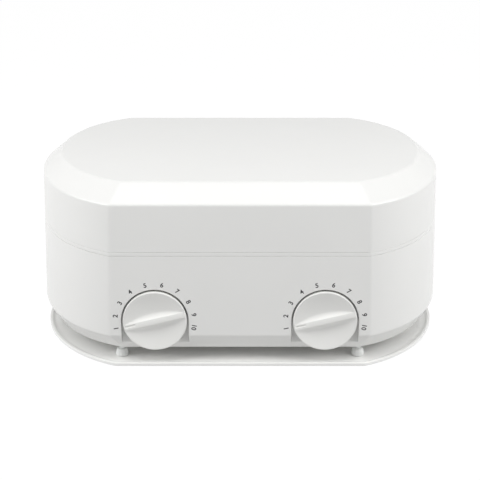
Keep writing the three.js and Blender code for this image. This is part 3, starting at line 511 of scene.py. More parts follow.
class Surface(Nodes):
    """A material and its node tree, whose textures lie in the object's own space."""

    def __init__(self, name):
        self.material = bpy.data.materials.new(name)
        self.material.use_nodes = True
        super().__init__(self.material.node_tree)
        self.shader = self.tree.nodes["Principled BSDF"]
        self.place = self.add("ShaderNodeTexCoord").outputs["Object"]

    def noise(self, size, detail=3.0, roughness=0.5, place=None):
        """Noise whose features are about as large as size, in millimetres."""
        inputs = {
            "Vector": place or self.place,
            "Scale": 1 / (size * MM),
            "Detail": detail,
            "Roughness": roughness,
        }
        return self.add("ShaderNodeTexNoise", inputs).outputs["Fac"]

    def spread(self, value, low, high):
        """A value between 0 and 1 mapped to a range."""
        inputs = {"Value": value, "To Min": low, "To Max": high}
        return self.add("ShaderNodeMapRange", inputs).outputs["Result"]

    def tones(self, value, dark, light):
        """A colour between two others."""
        ramp = self.add("ShaderNodeValToRGB", {"Fac": value})
        ramp.color_ramp.elements[0].color = (*dark, 1.0)
        ramp.color_ramp.elements[1].color = (*light, 1.0)
        return ramp.outputs["Color"]

    def bump(self, height, depth, strength=1.0, under=None):
        """A normal from a height of 0 to 1 that stands for a depth in millimetres."""
        inputs = {"Height": height, "Distance": depth * MM, "Strength": strength}
        if under:
            inputs["Normal"] = under
        return self.add("ShaderNodeBump", inputs).outputs["Normal"]

    def done(self, color, roughness, normal, **others):
        """Feeds the shader's sockets, where _ stands for a space, and gives back the material."""
        inputs = {"Base_Color": color, "Roughness": roughness, "Normal": normal, **others}
        for key, value in inputs.items():
            self.feed(self.shader.inputs[key.replace("_", " ")], value)
        return self.material


def shade(color, factor):
    """A colour made lighter or darker."""
    return tuple(min(channel * factor, 1.0) for channel in color)


def plastic(name, color, roughness, grain, grain_depth, ripple_depth):
    """Moulded plastic with a fine grain, the slow ripple of a large moulding, and slight changes of tone and
    gloss."""
    made = Surface(name)
    cloud = made.noise(size=60.0, detail=2.0)
    fine = made.noise(size=grain, detail=2.0, roughness=0.6)
    tone = made.tones(cloud, shade(color, 0.985), shade(color, 1.012))
    wear = made.noise(size=9.0, detail=5.0, roughness=0.65)
    gloss = made.spread(wear, roughness - 0.05, roughness + 0.06)
    ripple = made.bump(made.noise(size=28.0, detail=1.0), depth=ripple_depth)
    return made.done(tone, gloss, made.bump(fine, depth=grain_depth, under=ripple))


def spun_metal(name, color, roughness, axis_x):
    """Turned or drawn metal with fine rings about an upright axis."""
    made = Surface(name)
    parts = made.add("ShaderNodeSeparateXYZ", {"Vector": made.place}).outputs
    x, y = made.maths("SUBTRACT", parts["X"], axis_x * MM), parts["Y"]
    radius = made.maths("SQRT", made.maths("ADD", made.maths("MULTIPLY", x, x), made.maths("MULTIPLY", y, y)))
    turn = made.maths("MULTIPLY", made.maths("ARCTAN2", y, x), SPIN_STRETCH * MM)
    about = {"X": radius, "Y": turn, "Z": parts["Z"]}
    rings = made.add("ShaderNodeCombineXYZ", about).outputs["Vector"]
    lines = made.noise(size=0.55, detail=4.0, roughness=0.7, place=rings)
    bands = made.noise(size=7.0, detail=3.0, place=rings)
    tone = made.tones(bands, shade(color, 0.94), shade(color, 1.04))
    gloss = made.spread(lines, roughness - 0.08, roughness + 0.12)
    relief = made.bump(lines, depth=0.012, strength=0.8)
    return made.done(tone, gloss, relief, Metallic=1.0, Anisotropic=0.35)


def plated_steel(name, color, roughness):
    """Zinc-plated steel with a faint mottle and small scratches."""
    made = Surface(name)
    mottle = made.noise(size=3.0, detail=5.0, roughness=0.7)
    fine = made.noise(size=0.3, detail=3.0, roughness=0.6)
    tone = made.tones(mottle, shade(color, 0.85), shade(color, 1.08))
    gloss = made.spread(fine, roughness - 0.08, roughness + 0.15)
    return made.done(tone, gloss, made.bump(fine, depth=0.01), Metallic=1.0)


def rubber(name, color):
    """Matt rubber with a fine grain and a little dust."""
    made = Surface(name)
    fine = made.noise(size=0.35, detail=4.0, roughness=0.7)
    dust = made.noise(size=4.0, detail=4.0, roughness=0.6)
    tone = made.tones(dust, shade(color, 0.9), shade(color, 1.08))
    return made.done(tone, made.spread(dust, 0.62, 0.8), made.bump(fine, depth=0.04))


def fibre(name, color):
    """Needled fibre: short upright strands over a soft, uneven surface."""
    made = Surface(name)
    stretched = {"Vector": made.place, "Scale": FIBRE_STRETCH}
    upright = made.add("ShaderNodeMapping", stretched).outputs["Vector"]
    strands = made.noise(size=0.5, detail=6.0, roughness=0.8, place=upright)
    clumps = made.noise(size=5.0, detail=4.0, roughness=0.6)
    tone = made.tones(made.maths("MULTIPLY", strands, clumps), shade(color, 0.72), shade(color, 1.15))
    soft = made.bump(clumps, depth=0.5)
    return made.done(tone, 0.95, made.bump(strands, depth=0.25, under=soft), Sheen_Weight=0.3)


def heater_skin(name, color):
    """The heat-darkened jacket of a band heater, with faint bands round it."""
    made = Surface(name)
    parts = made.add("ShaderNodeSeparateXYZ", {"Vector": made.place}).outputs
    wave = made.maths("SINE", made.maths("MULTIPLY", parts["Z"], 2 * math.pi / (HEATER_BAND_PITCH * MM)))
    burnt = made.noise(size=12.0, detail=6.0, roughness=0.7)
    fine = made.noise(size=0.4, detail=4.0, roughness=0.7)
    tone = made.tones(burnt, shade(color, 0.55), shade(color, 1.45))
    ribs = made.bump(made.spread(wave, 0.0, 1.0), depth=0.15, strength=0.6)
    relief = made.bump(fine, depth=0.03, under=ribs)
    return made.done(tone, made.spread(fine, 0.4, 0.65), relief, Metallic=0.2)


def glazed_ceramic(name, color):
    """Glossy ceramic with fine speckles and a slightly wavy glaze."""
    made = Surface(name)
    speckle = made.noise(size=0.8, detail=5.0, roughness=0.8)
    tone = made.tones(speckle, shade(color, 0.93), shade(color, 1.03))
    glaze = made.bump(made.noise(size=3.0, detail=2.0), depth=0.03)
    return made.done(tone, made.spread(speckle, 0.14, 0.26), glaze)


def ink(name, color):
    """Pad-printed ink, a little uneven where it lies thin."""
    made = Surface(name)
    thin = made.noise(size=0.6, detail=4.0, roughness=0.7)
    tone = made.tones(thin, shade(color, 0.8), shade(color, 1.5))
    return made.done(tone, made.spread(thin, 0.42, 0.6), made.bump(thin, depth=0.01))


COLORS = {entry["slot"]: tuple(entry["base_color"]) for entry in frame["record"]["materials"]}
SHELL_COLOR = COLORS["white_shell"]
# The base plate is the shell's white plastic, made lighter as painted light: the extra brightness stands in
# for light falling on the plate.
PLATE_PAINTED_LIGHT_COLOR = shade(SHELL_COLOR, 1.1)
KNOB_COLOR = shade(COLORS["white_knob"], 1.05)
DARK_COLOR = COLORS["dark_plastic"]
BLOCK_COLOR = COLORS["block_plastic"]
FOOT_COLOR = shade(COLORS["grey_rubber"], 1.18)
INK_COLOR = (0.03, 0.03, 0.033)

WHITE_SHELL = plastic("white_shell", SHELL_COLOR, 0.24, grain=0.5, grain_depth=0.006, ripple_depth=0.05)
WHITE_PLATE_PAINTED_LIGHT = plastic("white_plate_painted_light", PLATE_PAINTED_LIGHT_COLOR, 0.2, grain=0.5, grain_depth=0.006, ripple_depth=0.04)
WHITE_KNOB = plastic("white_knob", KNOB_COLOR, 0.3, grain=0.4, grain_depth=0.008, ripple_depth=0.02)
DARK_PLASTIC = plastic("dark_plastic", DARK_COLOR, 0.5, grain=0.5, grain_depth=0.03, ripple_depth=0.02)
BLOCK_PLASTIC = plastic("block_plastic", BLOCK_COLOR, 0.45, grain=0.4, grain_depth=0.015, ripple_depth=0.02)
GREY_RUBBER = rubber("grey_rubber", FOOT_COLOR)
PALE_FIBRE = fibre("pale_fibre", COLORS["pale_fibre"])
STEEL = plated_steel("steel", COLORS["steel"], 0.3)
HEATER_SKIN = heater_skin("heater_skin", COLORS["heater_skin"])
FUSE_CERAMIC = glazed_ceramic("fuse_ceramic", COLORS["fuse_ceramic"])
DIAL_INK = ink("dial_ink", INK_COLOR)
ALUMINIUM = {
    side: spun_metal(f"aluminium_{side}", COLORS["aluminium"], 0.3, sign * WELL_X)
    for side, sign in SIDES.items()
}


# Lid, housing, deck, base plate, feet and gland


def lid_shell():
    """One shell with a chamfered shoulder, from the middle of its ceiling round its lower edge to its top."""
    wall = LID_WALL
    edge = DECK_TOP + LID_SEAM_GAP
    profile = [
        station(LID_TOP - wall, 2 * LID_INSET, LID_TOP_RISE, wall),
        station(LID_TOP - wall, LID_INSET, LID_TOP_RISE, wall),
        station(SHOULDER - wall, 0.0, END_RISE, wall),
        station(DECK_TOP, offset=wall),
        station(DECK_TOP, offset=SEAM_DEPTH),
        station(edge, offset=SEAM_DEPTH),
        station(edge),
        station(SHOULDER),
        station(LID_TOP, LID_INSET, LID_TOP_RISE),
        station(LID_TOP, 2 * LID_INSET, LID_TOP_RISE),
    ]
    rounding = {
        1: INSIDE_SOFTNESS,
        2: INSIDE_SOFTNESS,
        3: SHARP_EDGE_SOFTNESS,
        6: SEAM_SOFTNESS,
        7: SHOULDER_SOFTNESS,
        8: TOP_EDGE_SOFTNESS,
    }
    shell = loft("lid_shell", softened(profile, rounding))
    finished(shell, "lid", "white_shell", WHITE_SHELL, "lid")


def housing_profile():
    """The outside of the housing's wall, from its lower edge to the seam."""
    profile = [
        body_station(BODY_BOTTOM, 2 * SHARP_EDGE_SOFTNESS),
        body_station(BODY_BOTTOM),
        body_station(LOWER_CORNER),
        body_station(SEAM - SEAM_GAP),
        body_station(SEAM - SEAM_GAP, SEAM_DEPTH),
        body_station(SEAM, SEAM_DEPTH),
    ]
    return softened(profile, {1: SHARP_EDGE_SOFTNESS, 2: LOWER_EDGE_SOFTNESS, 3: SEAM_SOFTNESS})


def face_y(z, profile):
    """Y of the housing's front at a height, along its profile."""
    heights = [point[3] for point in profile]
    fronts = [-(HALF_DEPTH - point[0] - point[2]) for point in profile]
    return np.interp(z, heights, fronts)


def arch_outline(radius, bottom):
    """An upright arch, a half circle on two straight legs: X from the middle of its legs, and Z."""
    legs = np.linspace(bottom, KNOB_HEIGHT, ALCOVE_LEG_STEPS, endpoint=False)
    side = np.full(ALCOVE_LEG_STEPS, radius)
    top = arc(0, KNOB_HEIGHT, radius, 0, math.pi, ALCOVE_STEPS)
    return np.concatenate([np.column_stack([side, legs]), top, np.column_stack([-side, legs[::-1]])])


def alcove_cutter(x, profile):
    """What is cut away for a knob: an arch whose mouth flares out into the rounded lip of the housing's face,
    above a floor that curves forward and down and comes out through the lower chamfer."""
    bottom = BODY_BOTTOM - OVERRUN
    radius = KNOB_RADIUS + ALCOVE_GAP
    rings = []

    def ring(outline, y):
        rings.append(np.column_stack([outline[:, 0] + x, y, outline[:, 1]]))

    outer = arch_outline(radius + ALCOVE_LIP, bottom)
    ring(outer, np.full(len(outer), FACE_Y - 2 * OVERRUN))
    for i in range(1, ALCOVE_LIP_STEPS + 1):
        turn = math.pi / 2 * i / ALCOVE_LIP_STEPS
        outline = arch_outline(radius + ALCOVE_LIP * (1 - math.sin(turn)), bottom)
        depth = ALCOVE_LIP * (1 - math.cos(turn))
        deepest = ALCOVE_BACK - FIT_GAP * (ALCOVE_LIP_STEPS + 1 - i) / ALCOVE_LIP_STEPS
        ring(outline, np.minimum(face_y(outline[:, 1], profile) + depth, deepest))
    inner = arch_outline(radius, bottom)
    ring(inner, np.full(len(inner), ALCOVE_BACK))
    cutter = skinned("alcove_cutter", rings, capped=True)
    ramp_top = ALCOVE_EXIT + ALCOVE_RAMP_HEIGHT
    ramp = points(
        (ALCOVE_EXIT_Y, ALCOVE_EXIT),
        (ALCOVE_BACK, ALCOVE_EXIT + ALCOVE_RAMP_FOOT),
        (ALCOVE_BACK, ramp_top),
    )
    behind = ALCOVE_BACK + OVERRUN
    before = FACE_Y - 3 * OVERRUN
    around = points((behind, ramp_top), (behind, bottom), (before, bottom), (before, ALCOVE_EXIT))
    section = np.array([*softened(ramp, {1: ALCOVE_RAMP_HEIGHT}), *around])
    reach = radius + OVERRUN
    return cut(cutter, prism("alcove_floor", section, x - reach, x + reach, 0))


def housing_shell():
    """The lower shell, hollow, with an arched alcove behind each knob and the hole for the cord's gland."""
    profile = housing_profile()
    shell = loft("housing_shell", profile)
    inset, rise = body_station(BODY_BOTTOM)[:2]
    pocket = loft("pocket", [station(z, inset, rise, WALL) for z in (BODY_BOTTOM - OVERRUN, COVER_TOP)])
    ledge = WALL + COVER_LEDGE_WIDTH
    mouth = loft("mouth", [station(z, inset, rise, ledge) for z in (BODY_BOTTOM, LEDGE_TOP + FIT_GAP)])
    inside = [body_station(z, WALL) for z in (LEDGE_TOP, LOWER_CORNER, SEAM)]
    top = inside[-1].copy()
    top[3] += OVERRUN
    cavity = loft("cavity", [*inside, top])
    wall_behind = ALCOVE_BACK + WALL
    far = wall_behind + OVERRUN
    tools = [pocket, mouth]
    for sign in SIDES.values():
        x = sign * WELL_X
        outline = arch_outline(KNOB_RADIUS + ALCOVE_GAP + WALL, LEDGE_TOP - OVERRUN) + [x, 0]
        cut(cavity, prism("block", outline, FACE_Y - OVERRUN, wall_behind, 1))
        tools.append(alcove_cutter(x, profile))
        tools.append(cylinder("bush_hole", BUSH_BORE, FACE_Y, far, (x, 0, KNOB_HEIGHT), along_y=True))
    neck = GLAND_NECK_RADIUS + FIT_GAP
    back = BACK_FACE_Y + OVERRUN
    front = BACK_FACE_Y - WALL - OVERRUN
    tools.append(cylinder("gland_hole", neck, front, back, (0, 0, GLAND_HEIGHT), along_y=True))
    cut(shell, *tools, cavity)
    finished(shell, "warmer", "white_shell", WHITE_SHELL, "housing")


def ring_wall(name, root, edge, thickness, softness):
    """A wall round the plan from one station to another, with the corners of its edge rounded."""
    inner_root, inner_edge = root.copy(), edge.copy()
    inner_root[2] += thickness
    inner_edge[2] += thickness
    profile = [root, edge, inner_edge, inner_root, root]
    rings = [plan_ring(point) for point in softened(profile, {1: softness, 2: softness})]
    return skinned(name, rings)


def deck_panel():
    """The panel between housing and lid, with its rim band outside, a ridge for the lid, a skirt, posts and
    two seats."""
    edge = 2 * SEAM_SOFTNESS
    profile = [station(SEAM, offset=edge), station(SEAM), station(DECK_TOP), station(DECK_TOP, offset=edge)]
    panel = loft("deck_panel", softened(profile, {1: SEAM_SOFTNESS, 2: SEAM_SOFTNESS}))
    inside_housing = WALL + FIT_GAP
    root = body_station(SEAM + SEAM_SOFTNESS, inside_housing)
    end = body_station(SEAM - SKIRT_HEIGHT, inside_housing)
    skirt = ring_wall("skirt", root, end, SKIRT_WALL, SKIRT_SOFTNESS)
    inside_lid = LID_WALL + RIDGE_GAP
    root = station(DECK_TOP - SEAM_SOFTNESS, offset=inside_lid)
    end = station(DECK_TOP + RIDGE_HEIGHT, offset=inside_lid)
    ridge = ring_wall("ridge", root, end, RIDGE_WALL, RIDGE_SOFTNESS)
    posts, tools = [], []
    for node in nodes_named("cover_screw_"):
        place = (*middle_mm(node)[:2], 0)
        foot = box_mm(node)[1][2] - COVER_SCREW_GRIP
        pilot_end = foot + COVER_SCREW_GRIP + FIT_GAP
        posts.append(cylinder("post", POST_RADIUS, foot, SEAM + SEAT_DEPTH, place))
        tools.append(cylinder("pilot", POST_SCREW_BORE, foot - OVERRUN, pilot_end, place))
    seat = WELL_OUTER + WELL_FLANGE_WIDTH + FIT_GAP
    hole = WELL_OUTER + WELL_HOLE_GAP
    top = DECK_TOP + OVERRUN
    outline = points(
        (0, SEAM - OVERRUN),
        (hole, SEAM - OVERRUN),
        (hole, FLANGE_BOTTOM),
        (seat, FLANGE_BOTTOM),
        (seat, DECK_TOP - SHARP_EDGE_SOFTNESS),
        (seat + SHARP_EDGE_SOFTNESS, DECK_TOP),
        (seat + SHARP_EDGE_SOFTNESS, top),
        (0, top),
    )
    for sign in SIDES.values():
        tools.append(turned("seat_cutter", outline, ROUND_STEPS, (sign * WELL_X, 0, 0)))
    joined(panel, skirt, ridge, *posts)
    cut(panel, *tools)
    finished(panel, "warmer", "white_shell", WHITE_SHELL, "deck")


def base_tray():
    """The base plate: a flat floor, a slope up to a rounded lip, and a countersunk hole under each foot."""
    lip = PLATE_THICKNESS + PLATE_LIP_HEIGHT

    def level(z, offset=0.0):
        return station(z, -PLATE_OVERHANG, PLATE_RISE, offset)

    profile = [
        level(0, PLATE_LIP_WIDTH),
        level(0),
        level(lip),
        level(lip, PLATE_LIP_WIDTH - PLATE_EDGE_SOFTNESS),
        level(PLATE_THICKNESS, PLATE_LIP_FOOT),
        level(PLATE_THICKNESS, 2 * PLATE_LIP_FOOT),
    ]
    edge = PLATE_EDGE_SOFTNESS
    deeper = PLATE_FRONT_OVERHANG - PLATE_OVERHANG
    rounding = {1: edge, 2: edge, 3: edge, 4: PLATE_LIP_FOOT_SOFTNESS}
    tray = loft("base_tray", softened(profile, rounding), deeper)
    wide = SCREW_HEAD_RADIUS + FIT_GAP
    narrow = SCREW_RADIUS + FIT_GAP
    high = SCREW_SUNK + SCREW_HEAD_HEIGHT
    outline = points(
        (0, -OVERRUN),
        (wide, -OVERRUN),
        (wide, SCREW_SUNK),
        (narrow, high),
        (narrow, high + OVERRUN),
        (0, high + OVERRUN),
    )
    for node in FOOT_NODES:
        x, y = middle_mm(node)[:2]
        cut(tray, turned("countersink", outline, SMALL_STEPS, (x, y, 0)))
    # The plate's material is a lighter copy of the shell's plastic, with painted light in its colour.
    finished(tray, "warmer", "white_shell", WHITE_PLATE_PAINTED_LIGHT, "base_plate")


def feet():
    """Domed round feet, each with a narrow neck up to the body."""
    height = BODY_BOTTOM - PLATE_THICKNESS
    shoulder = height - FOOT_NECK_HEIGHT
    profile = points(
        (FOOT_BORE, 0),
        (FOOT_RADIUS, 0),
        (FOOT_RADIUS - FOOT_TAPER, shoulder),
        (FOOT_NECK_RADIUS, shoulder),
        (FOOT_NECK_RADIUS, height),
        (FOOT_BORE, height),
        (FOOT_BORE, 0),
    )
    outline = softened(profile, {1: FOOT_EDGE_SOFTNESS, 2: FOOT_DOME_SOFTNESS, 3: SHARP_EDGE_SOFTNESS})
    for node in FOOT_NODES:
        x, y = middle_mm(node)[:2]
        foot = turned(f"{node}_pad", outline, SMALL_STEPS, (x, y, PLATE_THICKNESS))
        finished(foot, "warmer", "grey_rubber", GREY_RUBBER, node)


def cross_recess(x, y, z):
    """The two cutters for the cross in a screw's head, which faces down."""
    cutters = []
    for turn in (0, math.pi / 2):
        rotation = np.array([[math.cos(turn), -math.sin(turn)], [math.sin(turn), math.cos(turn)]])
        rings = []
        for height, share in ((z - OVERRUN, 1.0), (z + RECESS_DEPTH, RECESS_FLOOR_SHARE)):
            half = RECESS_LENGTH / 2 * share
            thin = RECESS_WIDTH / 2
            corners = np.array([(half, -thin), (half, thin), (-half, thin), (-half, -thin)])
            corners = corners @ rotation.T + [x, y]
            rings.append(np.column_stack([corners, np.full(len(corners), height)]))
        cutters.append(skinned("recess", rings, capped=True))
    return cutters


def foot_screws():
    """Countersunk screws up through the plate and the feet."""
    rounding = {1: SCREW_HEAD_SOFTNESS, 2: SCREW_NECK_SOFTNESS, 3: SCREW_TIP_SOFTNESS}
    for node in nodes_named("foot_screw_"):
        bottom, top = (corner[2] for corner in box_mm(node))
        x, y = middle_mm(node)[:2]
        profile = points(
            (0, bottom),
            (SCREW_HEAD_RADIUS, bottom),
            (SCREW_RADIUS, bottom + SCREW_HEAD_HEIGHT),
            (SCREW_RADIUS, top - SCREW_RADIUS),
            (0, top),
        )
        screw = turned(f"{node}_plated", softened(profile, rounding), SMALL_STEPS, (x, y, 0))
        cut(screw, *cross_recess(x, y, bottom))
        finished(screw, "warmer", "steel", STEEL, node)


def gland():
    """The cord's gland: a rounded flange outside the back wall, its neck, and its nut inside."""
    outside = BACK_FACE_Y + GLAND_FLANGE_THICKNESS
    inside = BACK_FACE_Y - WALL - FIT_GAP
    end = inside - GLAND_NUT_THICKNESS
    profile = points(
        (GLAND_BORE_RADIUS, end),
        (GLAND_NUT_RADIUS, end),
        (GLAND_NUT_RADIUS, inside),
        (GLAND_NECK_RADIUS, inside),
        (GLAND_NECK_RADIUS, BACK_FACE_Y + FIT_GAP),
        (GLAND_FLANGE_RADIUS, BACK_FACE_Y + FIT_GAP),
        (GLAND_FLANGE_RADIUS - GLAND_FLANGE_THICKNESS / 2, outside),
        (GLAND_BORE_RADIUS, outside),
        (GLAND_BORE_RADIUS, end),
    )
    edge = GLAND_EDGE_SOFTNESS
    rounding = {1: edge, 2: edge, 5: edge, 6: GLAND_FACE_SOFTNESS, 7: GLAND_MOUTH_SOFTNESS}
    place = (0, 0, GLAND_HEIGHT)
    body = turned("gland_body", softened(profile, rounding), ROUND_STEPS, place, along_y=True)
    finished(body, "warmer", "white_shell", WHITE_SHELL, "cord_gland")


# Wells and pots


def heating_well(side):
    """A turned aluminium well, whose flange lies in the deck's seat."""
    bottom_edge = WELL_OUTER - WELL_WALL
    flange = WELL_OUTER + WELL_FLANGE_WIDTH
    profile = points(
        (0, WELL_BOTTOM),
        (bottom_edge, WELL_BOTTOM),
        (WELL_OUTER, WELL_BOTTOM + WELL_WALL),
        (WELL_OUTER, FLANGE_BOTTOM),
        (flange, FLANGE_BOTTOM),
        (flange, FLANGE_TOP),
        (WELL_INNER, FLANGE_TOP),
        (WELL_INNER, POT_BOTTOM + WELL_FLOOR),
        (WELL_INNER - WELL_FLOOR, POT_BOTTOM),
        (0, POT_BOTTOM),
    )
    base, inside = WELL_BASE_SOFTNESS, WELL_INSIDE_SOFTNESS
    rounding = {1: base, 2: base, 5: WELL_FLANGE_SOFTNESS, 6: WELL_MOUTH_SOFTNESS, 7: inside, 8: inside}
    place = (SIDES[side] * WELL_X, 0, 0)
    well = turned(f"well_{side}", softened(profile, rounding), ROUND_STEPS, place)
    finished(well, "warmer", "aluminium", ALUMINIUM[side], f"heating_well_{side}")


def wax_pot(side):
    """A drawn pot with a rounded foot and an outward rolled rim."""
    outer = POT_RADIUS + POT_WALL
    outside = POT_FOOT_RADIUS
    inside = POT_FOOT_RADIUS - POT_WALL
    floor_top = POT_BOTTOM + POT_WALL
    rim_x = POT_RADIUS + POT_RIM_RADIUS
    rim_z = POT_RIM_TOP - POT_RIM_RADIUS
    quarter = math.pi / 2
    under = -math.asin((POT_RIM_RADIUS - POT_WALL) / POT_RIM_RADIUS) - quarter
    profile = [
        *points((0, POT_BOTTOM)),
        *arc(outer - outside, POT_BOTTOM + outside, outside, -quarter, 0, 2 * EDGE_STEPS),
        *arc(rim_x, rim_z, POT_RIM_RADIUS, under, 2 * quarter, 4 * EDGE_STEPS),
        *arc(POT_RADIUS - inside, floor_top + inside, inside, 0, -quarter, 2 * EDGE_STEPS),
        *points((0, floor_top)),
    ]
    pot = turned(f"pot_bowl_{side}", profile, ROUND_STEPS, (SIDES[side] * WELL_X, 0, 0))
    finished(pot, f"pot_{side}", "aluminium", ALUMINIUM[side], f"wax_pot_{side}")


def pot_ear(side, end, back):
    """A lifting ear: a pressed tab that hugs the pot's wall and ends in a short turned-up edge."""
    near = POT_RADIUS + POT_WALL + FIT_GAP
    far = POT_RADIUS + POT_WALL + EAR_LENGTH
    top = EAR_BOTTOM + EAR_THICKNESS
    half = EAR_WIDTH / 2
    straight = half - EAR_CORNER
    edge = EAR_EDGE_SOFTNESS
    rounding = {1: EAR_OUTER_BEND_SOFTNESS, 2: edge, 3: edge, 4: EAR_INNER_BEND_SOFTNESS}
    rings = []
    for turn in np.linspace(-math.pi / 2, math.pi / 2, EAR_COLUMNS + 1):
        x = half * math.sin(turn)
        past = max(abs(x) - straight, 0) / EAR_CORNER
        draw_in = EAR_CORNER * (1 - math.sqrt(max(1 - past**2, 0)))
        reach = far - EAR_DRAW_IN_SHARE * draw_in
        turn_up = EAR_TURN_UP * (1 - EAR_TURN_UP_LOSS_SHARE * past**2)
        profile = points(
            (near, EAR_BOTTOM),
            (reach, EAR_BOTTOM),
            (reach, top + turn_up),
            (reach - EAR_THICKNESS, top + turn_up),
            (reach - EAR_THICKNESS, top),
            (near, top),
        )
        radii, heights = np.array(softened(profile, rounding)).T
        y = back * np.sqrt(radii**2 - x**2)
        across = np.full(len(radii), x + SIDES[side] * WELL_X)
        rings.append(np.column_stack([across, y, heights]))
    ear = skinned(f"ear_{end}_{side}", rings, capped=True)
    finished(ear, f"pot_{side}", "steel", STEEL, f"pot_ear_{end}_{side}")


# Knobs and numerals


def smooth_min(a, b, reach):
    """The lesser of two depths, with the corner between them filled."""
    near = np.maximum(reach - np.abs(a - b), 0) / reach
    return np.minimum(a, b) - near**2 * reach / 4


def grip_half_width(u):
    """Half the width of the grip's crest, which widens a little towards the pointer's tip."""
    reach = KNOB_RADIUS - KNOB_RIM_WIDTH / 2
    share = (u + reach) / (2 * reach)
    return (GRIP_END_WIDTH + (GRIP_TIP_WIDTH - GRIP_END_WIDTH) * share) / 2


def knob_depth(u, v):
    """How deep the knob's front lies behind its rim, with its dish, its grip and the pointer's groove. u runs
    along the grip to the pointer's tip, and v across it, downwards."""
    share = np.minimum((u**2 + v**2) / DISH_RADIUS**2, 1)
    dish = KNOB_DISH_DEPTH * (1 - share)
    half = grip_half_width(u)
    slant = GRIP_LEAN_SHARE * np.clip(half - v, 0, 2 * half)
    crest = GRIP_CROWN * np.minimum((v / half) ** 2, 1) + slant - GRIP_PROUD
    flank_share = np.where(v > 0, GRIP_LOWER_FLANK_SHARE, GRIP_UPPER_FLANK_SHARE)
    flank = GRIP_CROWN + slant - GRIP_PROUD + (np.abs(v) - half) / flank_share
    grip = -smooth_min(-flank, -crest, GRIP_CREST_SOFTNESS)
    beside = KNOB_DISH_DEPTH * np.maximum(1 - (u**2 + half**2) / DISH_RADIUS**2, 0) + GRIP_PROUD
    start = DISH_RADIUS - POINTER_GROOVE_LENGTH
    along = np.clip((u - start) / POINTER_GROOVE_WIDTH, 0, 1)
    along *= np.clip((DISH_RADIUS - u) / POINTER_GROOVE_WIDTH, 0, 1)
    across = np.clip(1 - (2 * (v - POINTER_GROOVE_ASIDE) / POINTER_GROOVE_WIDTH) ** 4, 0, 1)
    groove = POINTER_GROOVE_DEPTH * along * across
    foot_softness = np.where(v > 0, GRIP_LOWER_FOOT_SOFTNESS, GRIP_UPPER_FOOT_SOFTNESS)
    return smooth_min(dish, grip, np.minimum(beside, foot_softness)) + groove


def grip_rows(u, flank_share, foot_softness):
    """Where the front's mesh has its lines on one side of the grip's middle, at one place along the grip."""
    limit = math.sqrt(max(DISH_RADIUS**2 - u**2, 0))
    crest = grip_half_width(u)
    depth = KNOB_DISH_DEPTH * (1 - min((u**2 + crest**2) / DISH_RADIUS**2, 1))
    foot = crest + flank_share * (depth + GRIP_PROUD - GRIP_CROWN)
    groove = abs(POINTER_GROOVE_ASIDE) + POINTER_GROOVE_WIDTH / 2 * np.linspace(-1, 1, GROOVE_ROWS)
    edge = GRIP_CREST_SOFTNESS
    near_foot = min(foot_softness, (foot - crest) / 2)
    rows = [0, *groove]
    rows += list(crest + edge * np.linspace(-CREST_ROWS_SHARE, CREST_ROWS_SHARE, CREST_ROWS))
    rows += list(np.linspace(crest + edge, foot - near_foot, FLANK_ROWS))
    rows += list(foot + near_foot * np.linspace(-FOOT_ROWS_SHARE, 1, FOOT_ROWS))
    rows = np.maximum.accumulate(np.array(rows))
    last = rows[-1]
    room = GRIP_ROWS_SHARE * limit
    if last > room:
        rows = rows * room / last
        last = room
    outer = last + (limit - last) * np.linspace(0, 1, DISH_ROWS + 1)[1:]
    return np.concatenate([rows, outer])


def knob(side):
    """A dished disc with a rounded rim, a tapered grip across it, and a hub with the shaft's bore behind."""
    tilt = math.radians(POINTER_TILT_DEG)
    along = np.array([math.cos(tilt), 0, math.sin(tilt)])
    across = np.array([-math.sin(tilt), 0, math.cos(tilt)])
    middle = np.array([SIDES[side] * WELL_X, 0, KNOB_HEIGHT])
    bm = bmesh.new()

    def vertex(u, v, y):
        return bm.verts.new((middle + along * u + across * v + np.array([0, y, 0])) * MM)

    columns = []
    for turn in np.linspace(0, math.pi, GRIP_COLUMNS + 1):
        u = -DISH_RADIUS * math.cos(turn)
        above = grip_rows(u, GRIP_UPPER_FLANK_SHARE, GRIP_UPPER_FOOT_SOFTNESS)
        below = grip_rows(u, GRIP_LOWER_FLANK_SHARE, GRIP_LOWER_FOOT_SOFTNESS)
        rows = np.concatenate([-above[:0:-1], below])
        depth = knob_depth(np.full(len(rows), u), rows)
        columns.append([vertex(u, v, KNOB_FRONT + d) for v, d in zip(rows, depth)])
    for one, two in zip(columns, columns[1:]):
        for i in range(len(one) - 1):
            bm.faces.new((one[i], one[i + 1], two[i + 1], two[i]))
    previous = [column[-1] for column in columns] + [column[0] for column in columns[-2:0:-1]]
    angles = [math.pi - math.pi * i / GRIP_COLUMNS for i in range(2 * GRIP_COLUMNS)]
    profile = points(
        (DISH_RADIUS - KNOB_RIM_WIDTH, KNOB_FRONT),
        (KNOB_RADIUS, KNOB_FRONT),
        (KNOB_RADIUS - KNOB_TAPER, KNOB_BACK),
        (KNOB_HUB_RADIUS, KNOB_BACK),
        (KNOB_HUB_RADIUS, KNOB_HUB_BACK),
        (KNOB_BORE, KNOB_HUB_BACK),
        (KNOB_BORE, KNOB_FRONT + SHAFT_COVER - FIT_GAP),
    )
    back = KNOB_BACK_SOFTNESS
    rounding = {1: KNOB_RIM_WIDTH, 2: back, 3: back, 4: KNOB_HUB_SOFTNESS}
    for radius, y in softened(profile, rounding)[2:]:
        ring = [vertex(radius * math.cos(a), radius * math.sin(a), y) for a in angles]
        for i, corner in enumerate(previous):
            j = (i + 1) % len(previous)
            bm.faces.new((corner, previous[j], ring[j], ring[i]))
        previous = ring
    bm.faces.new(previous)
    made = object_from(bm, f"dial_knob_{side}")
    finished(made, f"dial_{side}", "white_knob", WHITE_KNOB, f"knob_{side}")


